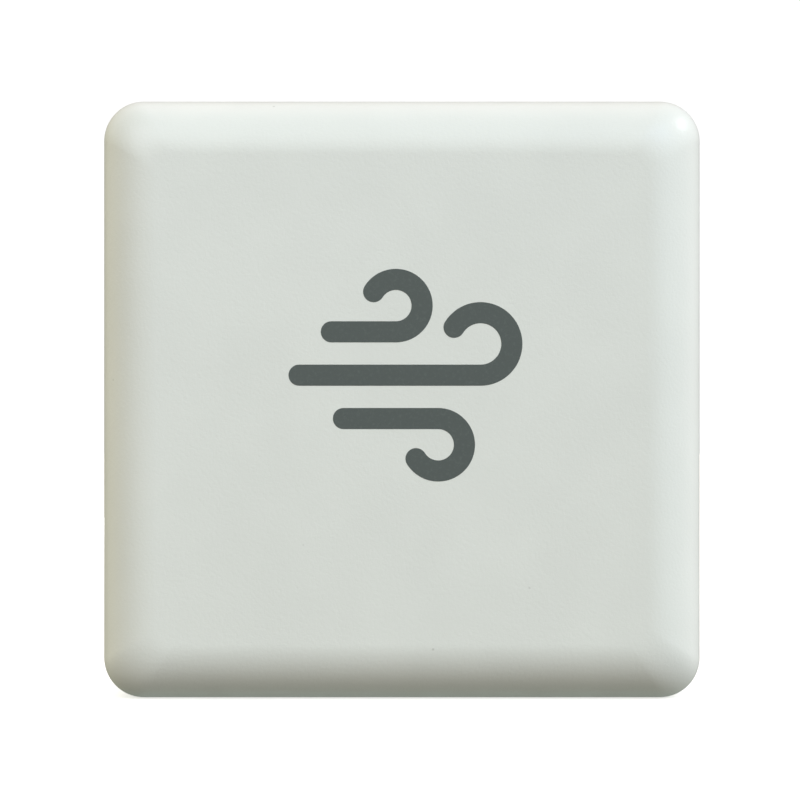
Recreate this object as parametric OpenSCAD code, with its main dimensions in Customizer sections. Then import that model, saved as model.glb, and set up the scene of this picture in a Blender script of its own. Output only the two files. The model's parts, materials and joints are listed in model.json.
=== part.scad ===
// Wall-mounted air quality monitor: a small square case with a laser particle sensor inside.
// Origin: centre of the footprint on the bottom face. +Z is up and the front faces -Y.

/* [Case] */
// Width and height of the square front
case_w = 60; // [59:0.5:62]
// Depth from the front face to the wall face
case_d = 26; // [26:0.5:28]
// Radius of the four corners seen from the front
corner_r = 4; // [3:0.5:4.5]
// Radius of the soft edge round the front face
edge_r = 5.5; // [5:0.25:6]
// Wall thickness of both covers
wall = 2; // [1.8:0.1:2.2]
// Depth of the front cover, from the face to the joint
split_d = 14; // [14:0.5:14.5]
// Small radius round the rear edges
rear_edge_r = 1.5; // [1:0.25:2]

/* [Wall fixing] */
// Distance between the two keyholes
keyhole_pitch = 30; // [30:1:32]
// Radius of a keyhole's round entry
keyhole_r = 3.6; // [3.4:0.1:3.8]
// Half width of a keyhole's slot
keyhole_slot_r = 1.9; // [1.7:0.1:2.1]

/* [Air ports] */
// Width of one air slot
slot_w = 1.2; // [1:0.1:1.4]
// Length of one air slot
slot_l = 5; // [4.5:0.25:5.5]
// Distance between air slots
slot_pitch = 2.4; // [2.3:0.1:2.6]
// Slots in each of the two groups
slot_count = 6; // [4:1:6]

/* [Particle sensor] */
// Width of the square particle sensor
sensor_w = 41; // [40:0.5:41]
// Thickness of the particle sensor
sensor_d = 12; // [11.5:0.5:12]
// Radius of the fan rotor over its blades
rotor_r = 8.8; // [8.4:0.1:9]
// Number of fan blades
blade_count = 11; // [7:1:13]

/* [Button] */
// Radius of the reset button
button_r = 1.8; // [1.6:0.1:1.9]
// Travel of the button
button_travel = 0.3; // [0.2:0.05:0.4]

/* [Hidden] */

$fn = 48;
eps = 0.01;

// Case planes
front_y = -case_d / 2;
back_y = case_d / 2;
split_y = front_y + split_d;
inner_front_y = front_y + wall;
inner_back_y = back_y - wall;
mid_z = case_w / 2;
floor_z = wall;

// Rolled edge: steps from the side wall to the corner's axis, then to the flat face
edge_steps = 7;
crown_steps = 2;

// Lip of the rear cover inside the front cover's rebate, and the shadow line at the joint
lip_t = 0.9;
lip_h = 2;
lip_gap = 0.12;
rebate_t = lip_t + lip_gap;
shadow_h = 0.5;
shadow_t = 0.4;

// Screw bosses and tubes
boss_off = 5;
boss_x = case_w / 2 - boss_off;
boss_r = 3.2;
boss_end_y = split_y - lip_h - 0.5;
pilot_r = 1.05;
pilot_l = 7;
case_screw_r = 1;
tube_bore_r = 1.4;
screw_seat_y = back_y - 4;
screw_head_r = 2.3;
screw_head_h = 1.8;
head_recess_r = 2.6;
recess_w = 0.5;

// Main board
board_t = 1.6;
board_front_y = split_y + 2;
board_back_y = board_front_y + board_t;
board_hx = 27;
board_z0 = 3;
board_z1 = case_w - 3;
notch = boss_off + boss_r + 0.4 - board_z0;
post_x = 24.2;
post_zs = [16, 44];
post_r = 2.3;
post_pilot_r = 0.85;
board_screw_r = 0.8;
board_hole_r = 1.1;
board_screw_l = 5;
board_head_r = 1.9;
board_head_h = 1.3;

// Keyholes in the rear wall, each with a pocket for the screw's head
keyhole_x = keyhole_pitch / 2;
keyhole_z = 38;
keyhole_run = 7;
pocket_d = 2;
pocket_wall = 1;
pocket_hx = keyhole_r + 0.3;
pocket_z0 = keyhole_z - keyhole_r - 0.4;
pocket_z1 = keyhole_z + keyhole_run + keyhole_r + 0.2;

// Lead inlet, button and status light along the bottom wall of the rear cover
usb_w = 7.5;
usb_h = 2.7;
usb_z0 = 2.5;
usb_l = 5.4;
usb_y = board_back_y + usb_h / 2;
inlet_w = 11.6;
inlet_h = 7;
inlet_r = 2;
button_x = 15;
button_y = board_back_y + 2.5;
button_z0 = 0.3;
button_hole_r = button_r + 0.15;
flange_r = button_r + 0.6;
flange_h = 0.6;
flange_gap = 0.1;
press_gap = 0.05;
switch_z0 = 4.8;
switch_w = 4.7;
switch_d = 5;
switch_h = 2.4;
plunger_r = 0.9;
plunger_z0 = 4.1;
plunger_in = 0.5;
light_x = -14;
light_r = 1.2;
light_y = board_back_y + 1.5;
led_z0 = 4.2;

// Air slots in the bottom wall of the front cover
slot_y = front_y + 8.7;
intake_x = -10;
exhaust_x = 8.5;
mesh_t = 0.3;
mesh_pitch = 1.6;
mesh_hole = 1;
mesh_hx = 18.4;
mesh_hy = 3.1;

// Particle sensor
sensor_y1 = board_front_y - 0.6;
sensor_y0 = sensor_y1 - sensor_d;
sensor_z0 = floor_z + 3;
sensor_z1 = sensor_z0 + sensor_w;
sensor_hx = sensor_w / 2;
sensor_wall = 1.2;
sensor_split_y = sensor_y0 + 6.8;
port_y0 = slot_y - 2.8;
port_y1 = slot_y + 2.4;
port_hx = 7.2;
sensor_board_t = 1;
sensor_floor_y = sensor_y1 - sensor_wall;
sensor_roof_y = sensor_y0 + sensor_wall;

// Fan
fan_x = exhaust_x;
fan_z = sensor_z0 + sensor_wall + 10.6;
fan_hw = 10.5;
fan_bore_r = rotor_r + 0.7;
fan_y0 = sensor_roof_y + 0.2;
fan_y1 = fan_y0 + 8;
fan_floor_t = 0.9;
hub_r = 4.4;
hub_wall = 0.8;
hub_y0 = fan_y0 + 0.6;
hub_y1 = fan_y1 - fan_floor_t - 0.5;
blade_t = 0.6;
shaft_r = 0.75;
bearing_gap = 0.04;
bearing_t = 0.8;
stator_r = 3.2;

// Laser, its light trap and the photodiode
laser_x = -12;
laser_z = 36;
laser_hx = 4.2;
laser_hz = 5;
laser_y0 = sensor_roof_y + 0.5;
laser_y1 = sensor_floor_y - sensor_board_t - 0.1;
laser_mid_y = (laser_y0 + laser_y1) / 2;
laser_bore_r = 1.65;

// Connectors and the short lead between them
plug_hx = 6.25;
wire_r = 0.35;
wire_pitch = 1.25;
wire_count = 8;
wire_bend_r = 1.2;
socket_y = sensor_y0 + 5.4;
socket_h = 2.5;
plug_h = 2;
sensor_plug_z1 = sensor_z1 + socket_h + plug_h;
board_plug_z = board_z1 - 3;
board_socket_d = 3.4;
board_plug_y0 = board_front_y - board_socket_d - plug_h;

// ---------------------------------------------------------------- shared shapes

// Box between two corners
module block(lo, hi) {
    translate(lo) cube(hi - lo);
}

// Cylinder along Y from y0 to y1, through (x, z)
module rod_y(x, z, r, y0, y1) {
    translate([x, y0, z]) rotate([-90, 0, 0]) cylinder(h = y1 - y0, r = r);
}

// Cylinder along Z from z0 to z1, through (x, y)
module rod_z(x, y, r, z0, z1) {
    translate([x, y, z0]) cylinder(h = z1 - z0, r = r);
}

// Outline in X and Z carried along Y from y0 to y1
module prism_y(y0, y1) {
    translate([0, y1, 0]) rotate([90, 0, 0]) linear_extrude(height = y1 - y0) children();
}

// Square outline with round corners
module round_square(w, h, r) {
    square([w - 2 * r, h], center = true);
    square([w, h - 2 * r], center = true);
    for (sx = [-1, 1], sz = [-1, 1])
        translate([sx * (w / 2 - r), sz * (h / 2 - r)]) circle(r);
}

// Places its children at the four corners of a rectangle, mirrored into each
module four_corners(x, z) {
    for (mx = [0, 1], mz = [0, 1])
        mirror([mx, 0, 0]) mirror([0, 0, mz]) translate([x, 0, z]) children();
}

// Rolled edge as [inset, depth] pairs, from the side wall to the flat face
function edge_points(r, plan_r) =
    let (a_axis = plan_r < r ? acos(1 - plan_r / r) : 90)
    [for (a = concat([for (i = [0:edge_steps]) a_axis * i / edge_steps],
            plan_r < r ? [for (i = [1:crown_steps]) a_axis + (90 - a_axis) * i / crown_steps] : []))
        [r * (1 - cos(a)), r * (1 - sin(a))]];

// Solid with a flat front at y = 0, a rolled edge round it and round corners, w by w by d
module soft_box(w, d, plan_r, r) {
    points = edge_points(r, plan_r);
    half = w / 2;
    left = [for (p = points) [p[0] - half, p[1]]];
    right = [for (i = [len(points) - 1:-1:0]) [half - points[i][0], points[i][1]]];
    side = concat([[-half, d]], left, right, [[half, d]]);
    corner = concat([[0, d], [plan_r, d]],
        [for (p = points) if (p[0] < plan_r - eps) [plan_r - p[0], p[1]]],
        [[0, min([for (p = points) if (p[0] < plan_r + eps) p[1]])]]);
    difference() {
        intersection() {
            linear_extrude(height = w, center = true) polygon(side);
            rotate([0, -90, 0]) linear_extrude(height = w, center = true) polygon(side);
        }
        four_corners(half - plan_r, half - plan_r)
            translate([0, -1, 0]) cube([plan_r + 1, d + 2, plan_r + 1]);
    }
    four_corners(half - plan_r, half - plan_r)
        rotate([-90, 0, 0]) rotate_extrude(angle = 90, start = -90) polygon(corner);
}

// Pan-head screw along Y, head towards +Y at y_seat, with a cross recess
module screw_back(x, z, y_seat, shank_r, length, head_r, head_h) {
    difference() {
        union() {
            rod_y(x, z, shank_r, y_seat - length, y_seat);
            rod_y(x, z, head_r, y_seat, y_seat + head_h);
        }
        for (turn = [0, 90])
            translate([x, y_seat + head_h, z]) rotate([0, turn, 0])
                cube([head_r * 1.2, head_h, recess_w], center = true);
    }
}

// Corner boss positions
module at_bosses() {
    for (sx = [-1, 1], z = [boss_off, case_w - boss_off])
        translate([sx * boss_x, 0, z]) children();
}

// Board post positions
module at_posts() {
    for (sx = [-1, 1], z = post_zs)
        translate([sx * post_x, 0, z]) children();
}

// ---------------------------------------------------------------- case

module air_slot(x) {
    half = slot_l / 2 - slot_w / 2;
    block([x - slot_w / 2, slot_y - half, -1], [x + slot_w / 2, slot_y + half, floor_z + 1]);
    for (end = [-half, half]) rod_z(x, slot_y + end, slot_w / 2, -1, floor_z + 1);
}

module front_cover() color("ivory") {
    difference() {
        union() {
            difference() {
                translate([0, front_y, mid_z]) soft_box(case_w, split_d, corner_r, edge_r);
                translate([0, inner_front_y, mid_z])
                    soft_box(case_w - 2 * wall, split_d, corner_r - wall, edge_r - wall);
            }
            at_bosses() rod_y(0, 0, boss_r, inner_front_y - eps, boss_end_y);
            // Ribs that press on the particle sensor's lid
            for (x = [-12, 12])
                block([x - 0.6, inner_front_y - eps, 14], [x + 0.6, sensor_y0, sensor_z1 - 8]);
        }
        prism_y(boss_end_y, split_y + 1) translate([0, mid_z])
            round_square(case_w - 2 * (wall - rebate_t), case_w - 2 * (wall - rebate_t),
                corner_r - wall + rebate_t);
        at_bosses() rod_y(0, 0, pilot_r, boss_end_y - pilot_l, boss_end_y + 1);
        for (group = [intake_x, exhaust_x], i = [0:slot_count - 1])
            air_slot(group + (i - (slot_count - 1) / 2) * slot_pitch);
    }
}

module keyhole(x) {
    rod_y(x, keyhole_z, keyhole_r, inner_back_y - 1, back_y + 1);
    block([x - keyhole_slot_r, inner_back_y - 1, keyhole_z],
        [x + keyhole_slot_r, back_y + 1, keyhole_z + keyhole_run]);
    rod_y(x, keyhole_z + keyhole_run, keyhole_slot_r, inner_back_y - 1, back_y + 1);
}

module rear_cover() color("ivory") {
    shell_d = case_d - split_d;
    lip_w = case_w - 2 * (wall - lip_t);
    difference() {
        union() {
            difference() {
                union() {
                    // Tub, less the shadow line at the joint
                    difference() {
                        translate([0, back_y, mid_z]) mirror([0, 1, 0])
                            soft_box(case_w, shell_d, corner_r, rear_edge_r);
                        prism_y(split_y - 1, split_y + shadow_h) translate([0, mid_z])
                            square(case_w + 2, center = true);
                    }
                    prism_y(split_y, split_y + shadow_h + eps) translate([0, mid_z])
                        round_square(case_w - 2 * shadow_t, case_w - 2 * shadow_t, corner_r - shadow_t);
                    prism_y(split_y - lip_h, split_y + eps) translate([0, mid_z])
                        round_square(lip_w, lip_w, corner_r - wall + lip_t);
                }
                prism_y(split_y - lip_h - 1, inner_back_y) translate([0, mid_z])
                    round_square(case_w - 2 * wall, case_w - 2 * wall, corner_r - wall);
            }
            at_bosses() rod_y(0, 0, boss_r, boss_end_y + 0.05, inner_back_y + eps);
            at_posts() rod_y(0, 0, post_r, board_back_y, inner_back_y + eps);
            for (sx = [-1, 1]) translate([sx * keyhole_x, 0, 0])
                block([-pocket_hx - pocket_wall, inner_back_y - pocket_d - pocket_wall, pocket_z0 - pocket_wall],
                    [pocket_hx + pocket_wall, inner_back_y + eps, pocket_z1 + pocket_wall]);
        }
        for (sx = [-1, 1]) {
            keyhole(sx * keyhole_x);
            translate([sx * keyhole_x, 0, 0]) block([-pocket_hx, inner_back_y - pocket_d, pocket_z0],
                [pocket_hx, inner_back_y, pocket_z1]);
        }
        at_bosses() {
            rod_y(0, 0, tube_bore_r, boss_end_y - 1, back_y + 1);
            rod_y(0, 0, head_recess_r, screw_seat_y, back_y + 1);
        }
        at_posts() rod_y(0, 0, post_pilot_r, board_back_y - 1, board_back_y + board_screw_l);
        translate([0, usb_y, -1]) linear_extrude(height = floor_z + 2)
            round_square(inlet_w, inlet_h, inlet_r);
        rod_z(button_x, button_y, button_hole_r, -1, floor_z + 1);
        rod_z(light_x, light_y, light_r + 0.05, -1, floor_z + 1);
    }
}

module case_screws() color("silver")
    at_bosses() screw_back(0, 0, screw_seat_y, case_screw_r, screw_seat_y - boss_end_y + pilot_l - 1,
        screw_head_r, screw_head_h);

module dust_mesh() color("gray") difference() {
    block([-mesh_hx, slot_y - mesh_hy, floor_z], [mesh_hx, slot_y + mesh_hy, floor_z + mesh_t]);
    for (ix = [-11:11], iy = [-1:2]) if (abs(ix) > 0)
        translate([ix * mesh_pitch, slot_y + (iy - 0.5) * mesh_pitch, floor_z])
            cube([mesh_hole, mesh_hole, 2], center = true);
}

module air_gasket() color("dimgray") difference() {
    block([-mesh_hx, slot_y - mesh_hy, floor_z + mesh_t], [mesh_hx, slot_y + mesh_hy, sensor_z0]);
    for (x = [intake_x, exhaust_x])
        block([x - port_hx, slot_y - mesh_hy + 0.9, 0], [x + port_hx, slot_y + mesh_hy - 0.9, sensor_z0 + 1]);
}

module reset_button() color("gainsboro") {
    rod_z(button_x, button_y, button_r, button_z0, floor_z + flange_gap + flange_h);
    rod_z(button_x, button_y, flange_r, floor_z + flange_gap, floor_z + flange_gap + flange_h);
    rod_z(button_x, button_y, plunger_r, floor_z + flange_gap, plunger_z0 - press_gap);
}

module light_pipe() color("white") {
    rod_z(light_x, light_y, light_r, 0.2, floor_z);
    rod_z(light_x, light_y, light_r + 0.15, floor_z, led_z0 - 0.1);
}

// ---------------------------------------------------------------- main board

module main_board() color("seagreen") difference() {
    block([-board_hx, board_front_y, board_z0], [board_hx, board_back_y, board_z1]);
    for (sx = [-1, 1], z = [board_z0, board_z1])
        translate([sx * board_hx, (board_front_y + board_back_y) / 2, z])
            cube([2 * notch, 2 * board_t, 2 * notch], center = true);
    at_posts() rod_y(0, 0, board_hole_r, board_front_y - 1, board_back_y + 1);
}

module board_screws() color("silver")
    at_posts() mirror([0, 1, 0])
        screw_back(0, 0, -board_front_y, board_screw_r, board_screw_l, board_head_r, board_head_h);

module radio_board() color("darkslategray")
    block([-8, board_back_y, board_z1 - 24], [8, board_back_y + 0.8, board_z1]);

module radio_shield() color("silver") difference() {
    block([-7.4, board_back_y + 0.8, board_z1 - 23.4], [7.4, board_back_y + 3.1, board_z1 - 7]);
    block([-7.2, board_back_y + 0.8 - eps, board_z1 - 23.2], [7.2, board_back_y + 2.9, board_z1 - 7.2]);
}

module usb_socket() color("silver") {
    lip = 0.3;
    difference() {
        block([-usb_w / 2, board_back_y, usb_z0], [usb_w / 2, board_back_y + usb_h, usb_z0 + usb_l]);
        block([lip - usb_w / 2, board_back_y + lip, usb_z0 - 1],
            [usb_w / 2 - lip, board_back_y + usb_h - lip, usb_z0 + usb_l - 1]);
    }
    block([-1.9, usb_y - 0.3, usb_z0 + 0.8], [1.9, usb_y + 0.3, usb_z0 + usb_l - 1 + eps]);
}

module regulator() color("dimgray") {
    block([10, board_back_y, 16], [13.6, board_back_y + 1.7, 22.6]);
    for (dz = [0, 2.3, 4.6]) block([8.6, board_back_y, 16.6 + dz], [10, board_back_y + 0.5, 17.4 + dz]);
    block([13.6, board_back_y, 17.8], [15, board_back_y + 0.5, 20.8]);
}

module inductor() color("dimgray") difference() {
    block([-2.5, board_back_y, 14], [2.5, board_back_y + 3, 19]);
    for (sz = [14, 19]) translate([0, board_back_y + 1.5, sz]) cube([3, 4, 0.8], center = true);
}

module capacitors() color("silver")
    for (x = [-17, -9.5]) {
        block([x - 2.65, board_back_y, 16], [x + 2.65, board_back_y + 1, 21.3]);
        rod_y(x, 18.65, 2.5, board_back_y + 1, board_back_y + 5.4);
    }

module chip_parts() color("peru")
    for (ix = [0:3], iz = [0:1])
        block([-18 + 3 * ix, board_back_y, 25 + 2.4 * iz],
            [-16.4 + 3 * ix, board_back_y + 0.5, 25.8 + 2.4 * iz]);

module status_led() color("white")
    block([light_x - 1.5, board_back_y, led_z0], [light_x + 1.5, board_back_y + 2.2, led_z0 + 1.2]);

module switch_body() color("dimgray") difference() {
    block([button_x - switch_w / 2, board_back_y, switch_z0],
        [button_x + switch_w / 2, board_back_y + switch_d, switch_z0 + switch_h]);
    rod_z(button_x, button_y, plunger_r + 0.1, switch_z0 - 1, switch_z0 + plunger_in + button_travel + 0.1);
}

module switch_plunger() color("black")
    rod_z(button_x, button_y, plunger_r, plunger_z0, switch_z0 + plunger_in);

module board_socket() color("ivory")
    block([-plug_hx, board_front_y - board_socket_d, board_plug_z - 2],
        [plug_hx, board_front_y, board_plug_z + 2]);

module board_plug() color("ivory")
    block([-plug_hx + 0.4, board_plug_y0, board_plug_z - 1.6],
        [plug_hx - 0.4, board_plug_y0 + plug_h, board_plug_z + 1.6]);

module sensor_plug() color("ivory")
    block([-plug_hx + 0.4, socket_y - 1.6, sensor_z1 + socket_h],
        [plug_hx - 0.4, socket_y + 1.6, sensor_plug_z1]);

module sensor_wires() color("red")
    for (i = [0:wire_count - 1]) {
        x = (i - (wire_count - 1) / 2) * wire_pitch;
        rod_z(x, socket_y, wire_r, sensor_plug_z1, board_plug_z - wire_bend_r);
        // Quarter bend from +Z to +Y
        translate([x, socket_y + wire_bend_r, board_plug_z - wire_bend_r]) rotate([0, -90, 0])
            rotate_extrude(angle = 90, start = -90) translate([wire_bend_r, 0]) circle(wire_r, $fn = 16);
        rod_y(x, board_plug_z, wire_r, socket_y + wire_bend_r, board_plug_y0);
    }

// ---------------------------------------------------------------- particle sensor

module sensor_tape() color("white")
    block([1 - sensor_hx, sensor_y1, sensor_z0 + 8], [sensor_hx - 1, board_front_y, sensor_z1 - 4]);

// Air ports through the sensor's bottom wall, one for each group of slots
module sensor_ports() {
    for (x = [intake_x, exhaust_x])
        block([x - port_hx + 0.6, port_y0, sensor_z0 - 1],
            [x + port_hx - 0.6, port_y1, sensor_z0 + sensor_wall + 0.5]);
}

module sensor_half(y0, y1, cut_y0, cut_y1) {
    difference() {
        block([-sensor_hx, y0, sensor_z0], [sensor_hx, y1, sensor_z1]);
        block([sensor_wall - sensor_hx, cut_y0, sensor_z0 + sensor_wall],
            [sensor_hx - sensor_wall, cut_y1, sensor_z1 - sensor_wall]);
        sensor_ports();
    }
}

module sensor_base() color("silver")
    sensor_half(sensor_split_y, sensor_y1, sensor_split_y - 1, sensor_floor_y);

module sensor_lid() color("silver")
    sensor_half(sensor_y0, sensor_split_y, sensor_roof_y, sensor_split_y + 1);

module sensor_board() color("seagreen")
    block([sensor_wall - sensor_hx + 0.2, sensor_floor_y - sensor_board_t, sensor_z0 + sensor_wall + 0.2],
        [sensor_hx - sensor_wall - 0.2, sensor_floor_y, sensor_z1 - sensor_wall - 0.2]);

module sensor_socket() color("ivory")
    block([-plug_hx, socket_y - 2, sensor_z1], [plug_hx, socket_y + 2, sensor_z1 + socket_h]);

module laser_block() color("gray") difference() {
    block([laser_x - laser_hx, laser_y0, laser_z - laser_hz], [laser_x + laser_hx, laser_y1, laser_z + laser_hz]);
    // Bore that holds the laser, and the sampling chamber that the beam crosses
    rod_z(laser_x, laser_mid_y, laser_bore_r, laser_z - laser_hz - 1, laser_z + laser_hz + 1);
}

module laser_diode() color("goldenrod") {
    rod_z(laser_x, laser_mid_y, laser_bore_r, laser_z - 2, laser_z + laser_hz);
    rod_z(laser_x, laser_mid_y, 2.8, laser_z + laser_hz, laser_z + laser_hz + 1);
}

module photodiode() color("black")
    block([laser_x - 2, laser_y1 - 1.1, 24], [laser_x + 2, sensor_floor_y - sensor_board_t, 27.5]);

// ---------------------------------------------------------------- fan

module fan_housing() color("dimgray") difference() {
    block([fan_x - fan_hw, fan_y0, fan_z - fan_hw], [fan_x + fan_hw, fan_y1, fan_z + fan_hw]);
    rod_y(fan_x, fan_z, fan_bore_r, fan_y0 + 0.6, fan_y1 - fan_floor_t);
    // Air comes in round the hub and leaves through the bottom
    rod_y(fan_x, fan_z, fan_bore_r - 2.2, fan_y0 - 1, fan_y0 + 1);
    block([fan_x - port_hx + 0.6, fan_y0 + 0.8, fan_z - fan_hw - 1],
        [fan_x + port_hx - 0.6, fan_y1 - fan_floor_t, fan_z - 4]);
    rod_y(fan_x, fan_z, stator_r - 1, fan_y1 - 2, fan_y1 + 1);
}

module fan_stator() color("peru") difference() {
    union() {
        rod_y(fan_x, fan_z, stator_r - 1, fan_y1 - fan_floor_t, fan_y1);
        rod_y(fan_x, fan_z, stator_r, hub_y0 + hub_wall + 0.6, fan_y1 - fan_floor_t);
    }
    rod_y(fan_x, fan_z, shaft_r + bearing_gap + bearing_t, fan_y0, fan_y1 + 1);
}

module fan_bearing() color("goldenrod") difference() {
    rod_y(fan_x, fan_z, shaft_r + bearing_gap + bearing_t, hub_y0 + hub_wall + 0.6, fan_y1);
    rod_y(fan_x, fan_z, shaft_r + bearing_gap, fan_y0, fan_y1 + 1);
}

module fan_shaft() color("silver")
    rod_y(fan_x, fan_z, shaft_r, hub_y0, fan_y1 - 0.4);

module fan_rotor() color("black") difference() {
    union() {
        rod_y(fan_x, fan_z, hub_r, hub_y0, hub_y1);
        for (i = [0:blade_count - 1])
            translate([fan_x, 0, fan_z]) rotate([0, 360 * i / blade_count, 0])
                block([hub_r - 0.3, hub_y0 + 0.8, -blade_t / 2], [rotor_r, hub_y1 - 0.4, blade_t / 2]);
        rod_y(fan_x, fan_z, rotor_r - 0.6, hub_y1 - 0.9, hub_y1 - 0.4);
    }
    rod_y(fan_x, fan_z, hub_r - hub_wall, hub_y0 + hub_wall, hub_y1 + 1);
    rod_y(fan_x, fan_z, shaft_r, hub_y0 - 1, hub_y1);
}

front_cover();
rear_cover();
case_screws();
dust_mesh();
air_gasket();
reset_button();
light_pipe();
main_board();
board_screws();
radio_board();
radio_shield();
usb_socket();
regulator();
inductor();
capacitors();
chip_parts();
status_led();
switch_body();
switch_plunger();
board_socket();
board_plug();
sensor_plug();
sensor_wires();
sensor_tape();
sensor_base();
sensor_lid();
sensor_board();
sensor_socket();
laser_block();
laser_diode();
photodiode();
fan_housing();
fan_stator();
fan_bearing();
fan_shaft();
fan_rotor();
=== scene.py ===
import json
import math
import random
from functools import partial

import bmesh
import bpy
from bpy.props import FloatProperty, FloatVectorProperty, IntProperty, PointerProperty
from mathutils import Matrix, Vector


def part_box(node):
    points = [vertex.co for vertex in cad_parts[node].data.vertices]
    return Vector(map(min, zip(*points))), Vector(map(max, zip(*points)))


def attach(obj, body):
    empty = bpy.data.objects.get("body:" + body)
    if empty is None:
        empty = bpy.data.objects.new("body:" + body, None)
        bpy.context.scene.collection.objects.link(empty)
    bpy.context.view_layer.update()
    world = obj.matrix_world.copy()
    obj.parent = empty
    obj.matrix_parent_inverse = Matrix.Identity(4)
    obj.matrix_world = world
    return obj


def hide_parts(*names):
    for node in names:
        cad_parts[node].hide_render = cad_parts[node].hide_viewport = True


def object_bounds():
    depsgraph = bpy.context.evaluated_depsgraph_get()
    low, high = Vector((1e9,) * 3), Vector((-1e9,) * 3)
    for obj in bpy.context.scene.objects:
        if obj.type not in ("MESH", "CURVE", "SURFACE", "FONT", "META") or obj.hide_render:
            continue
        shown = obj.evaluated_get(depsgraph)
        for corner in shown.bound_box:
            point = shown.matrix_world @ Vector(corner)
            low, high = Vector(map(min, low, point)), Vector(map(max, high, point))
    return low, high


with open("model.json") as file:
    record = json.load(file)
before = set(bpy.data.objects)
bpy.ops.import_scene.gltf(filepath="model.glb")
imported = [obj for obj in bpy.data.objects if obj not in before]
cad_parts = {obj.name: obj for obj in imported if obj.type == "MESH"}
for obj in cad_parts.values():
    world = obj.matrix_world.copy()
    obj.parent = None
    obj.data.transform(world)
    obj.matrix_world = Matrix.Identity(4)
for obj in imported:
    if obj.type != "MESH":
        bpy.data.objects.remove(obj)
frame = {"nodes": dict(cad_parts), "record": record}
CAD_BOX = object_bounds()

bl_info = {
    "name": "Air Quality Monitor",
    "version": (1, 0, 0),
    "blender": (4, 5, 0),
    "location": "View3D > Sidebar > Air Monitor",
    "description": "Builds a small square wall-mounted air quality monitor round its packed frame",
    "category": "Object",
}

# Pieces are modelled in millimetres and brought to metres when they are finished.
MM = 0.001


def node_box(node):
    """Lowest corner, highest corner and middle of a CAD node, in millimetres."""
    low, high = (Vector(corner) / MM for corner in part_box(node))
    return low, high, (low + high) / 2


# ---------------------------------------------------------------- sizes, in millimetres, from the frame

BOX_LOW, BOX_HIGH = CAD_BOX[0] / MM, CAD_BOX[1] / MM
HALF_W = (BOX_HIGH.x - BOX_LOW.x) / 2
MID_Z = (BOX_LOW.z + BOX_HIGH.z) / 2
FRONT_Y = BOX_LOW.y
BACK_Y = BOX_HIGH.y
SPLIT_Y = node_box("front_cover")[1].y
BOSS_END_Y = node_box("rear_cover")[0].y - 0.05
WALL = 2.0
INNER_FRONT_Y = FRONT_Y + WALL
INNER_BACK_Y = BACK_Y - WALL
BOARD_BACK_Y = node_box("main_board")[1].y
SENSOR_FRONT_Y = node_box("sensor_lid")[0].y
LEAD_LOW, LEAD_HIGH, LEAD_MID = node_box("usb_socket")
BUTTON_LOW, BUTTON_HIGH, BUTTON_MID = node_box("reset_button")
LIGHT_LOW, LIGHT_HIGH, LIGHT_MID = node_box("light_pipe")

# The ink stands proud of the face, and the face is drawn back by as much
INK_T = 0.015
FACE_Y = FRONT_Y + INK_T
# Outer corners, and the lip and shadow line where the covers meet
CORNER_R = 4.0
LIP_T = 0.9
LIP_H = 2.0
REBATE_T = LIP_T + 0.12
SHADOW_H = 0.5
SHADOW_T = 0.4
REAR_EDGE_R = 1.5
# Corner bosses, screws and the ribs that hold the sensor
BOSS_OFF = 5.0
BOSS_PITCH = 2 * (HALF_W - BOSS_OFF)
BOSS_R = 3.2
PILOT_R = 1.05
PILOT_L = 7.0
TUBE_BORE_R = 1.4
HEAD_RECESS_R = 2.6
HEAD_RECESS_D = 4.0
CASE_SCREW_HEAD_H = 1.8
BOARD_SCREW_HEAD_H = 1.3
RIB_X = 12.0
RIB_T = 1.2
RIB_LOW_Z = 14.0
RIB_HIGH_Z = 38.0
# Board posts
POST_X = 24.2
POST_ZS = (16.0, 44.0)
POST_R = 2.3
POST_PILOT_R = 0.85
POST_PILOT_L = 5.0
# Keyholes, and the pocket behind each for the wall screw's head
KEYHOLE_X = 15.0
KEYHOLE_Z = 38.0
KEYHOLE_RUN = 7.0
KEYHOLE_R = 3.6
KEYHOLE_SLOT_R = 1.9
POCKET_D = 2.0
POCKET_WALL = 1.0
# Openings in the bottom wall
SLOT_Y = FRONT_Y + 8.7
SLOT_GROUPS = (-10.0, 8.5)
INLET_W = 11.6
INLET_H = 7.0
INLET_R = 2.0
BUTTON_R = 1.8
BUTTON_GAP = 0.15
LIGHT_R = 1.2
LIGHT_GAP = 0.05
# How far an added solid is rooted in its wall, and how far a cutter runs past what it cuts
ROOT = 0.5
PAST = 1.0


# ---------------------------------------------------------------- settings a user would change


class CaseSettings(bpy.types.PropertyGroup):
    """Sizes of the case's visible features."""

    edge_r: FloatProperty(
        name="Soft edge", description="Radius of the edge round the front face, in mm",
        default=5.5, min=4.5, max=6.0, precision=2)
    face_corner_r: FloatProperty(
        name="Face corner", description="Corner radius where the edge meets the flat face, in mm",
        default=1.8, min=0.4, max=3.0, precision=2)
    edge_steps: IntProperty(
        name="Edge steps", description="Rings across the soft edge", default=28, min=8, max=48)
    corner_steps: IntProperty(
        name="Corner steps", description="Segments round each corner", default=20, min=6, max=40)
    break_edge: FloatProperty(
        name="Broken edges", description="Rounding of the moulded edges, in mm",
        default=0.12, min=0.05, max=0.3, precision=2)
    slot_count: IntProperty(
        name="Air slots", description="Slots in each group", default=6, min=3, max=6)
    slot_w: FloatProperty(
        name="Slot width", description="Width of an air slot, in mm", default=1.2, min=0.8, max=1.4)
    slot_l: FloatProperty(
        name="Slot length", description="Length of an air slot, in mm", default=5.0, min=4.0, max=5.5)
    slot_pitch: FloatProperty(
        name="Slot pitch", description="Distance between air slots, in mm", default=2.4, min=2.0, max=2.6)


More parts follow.
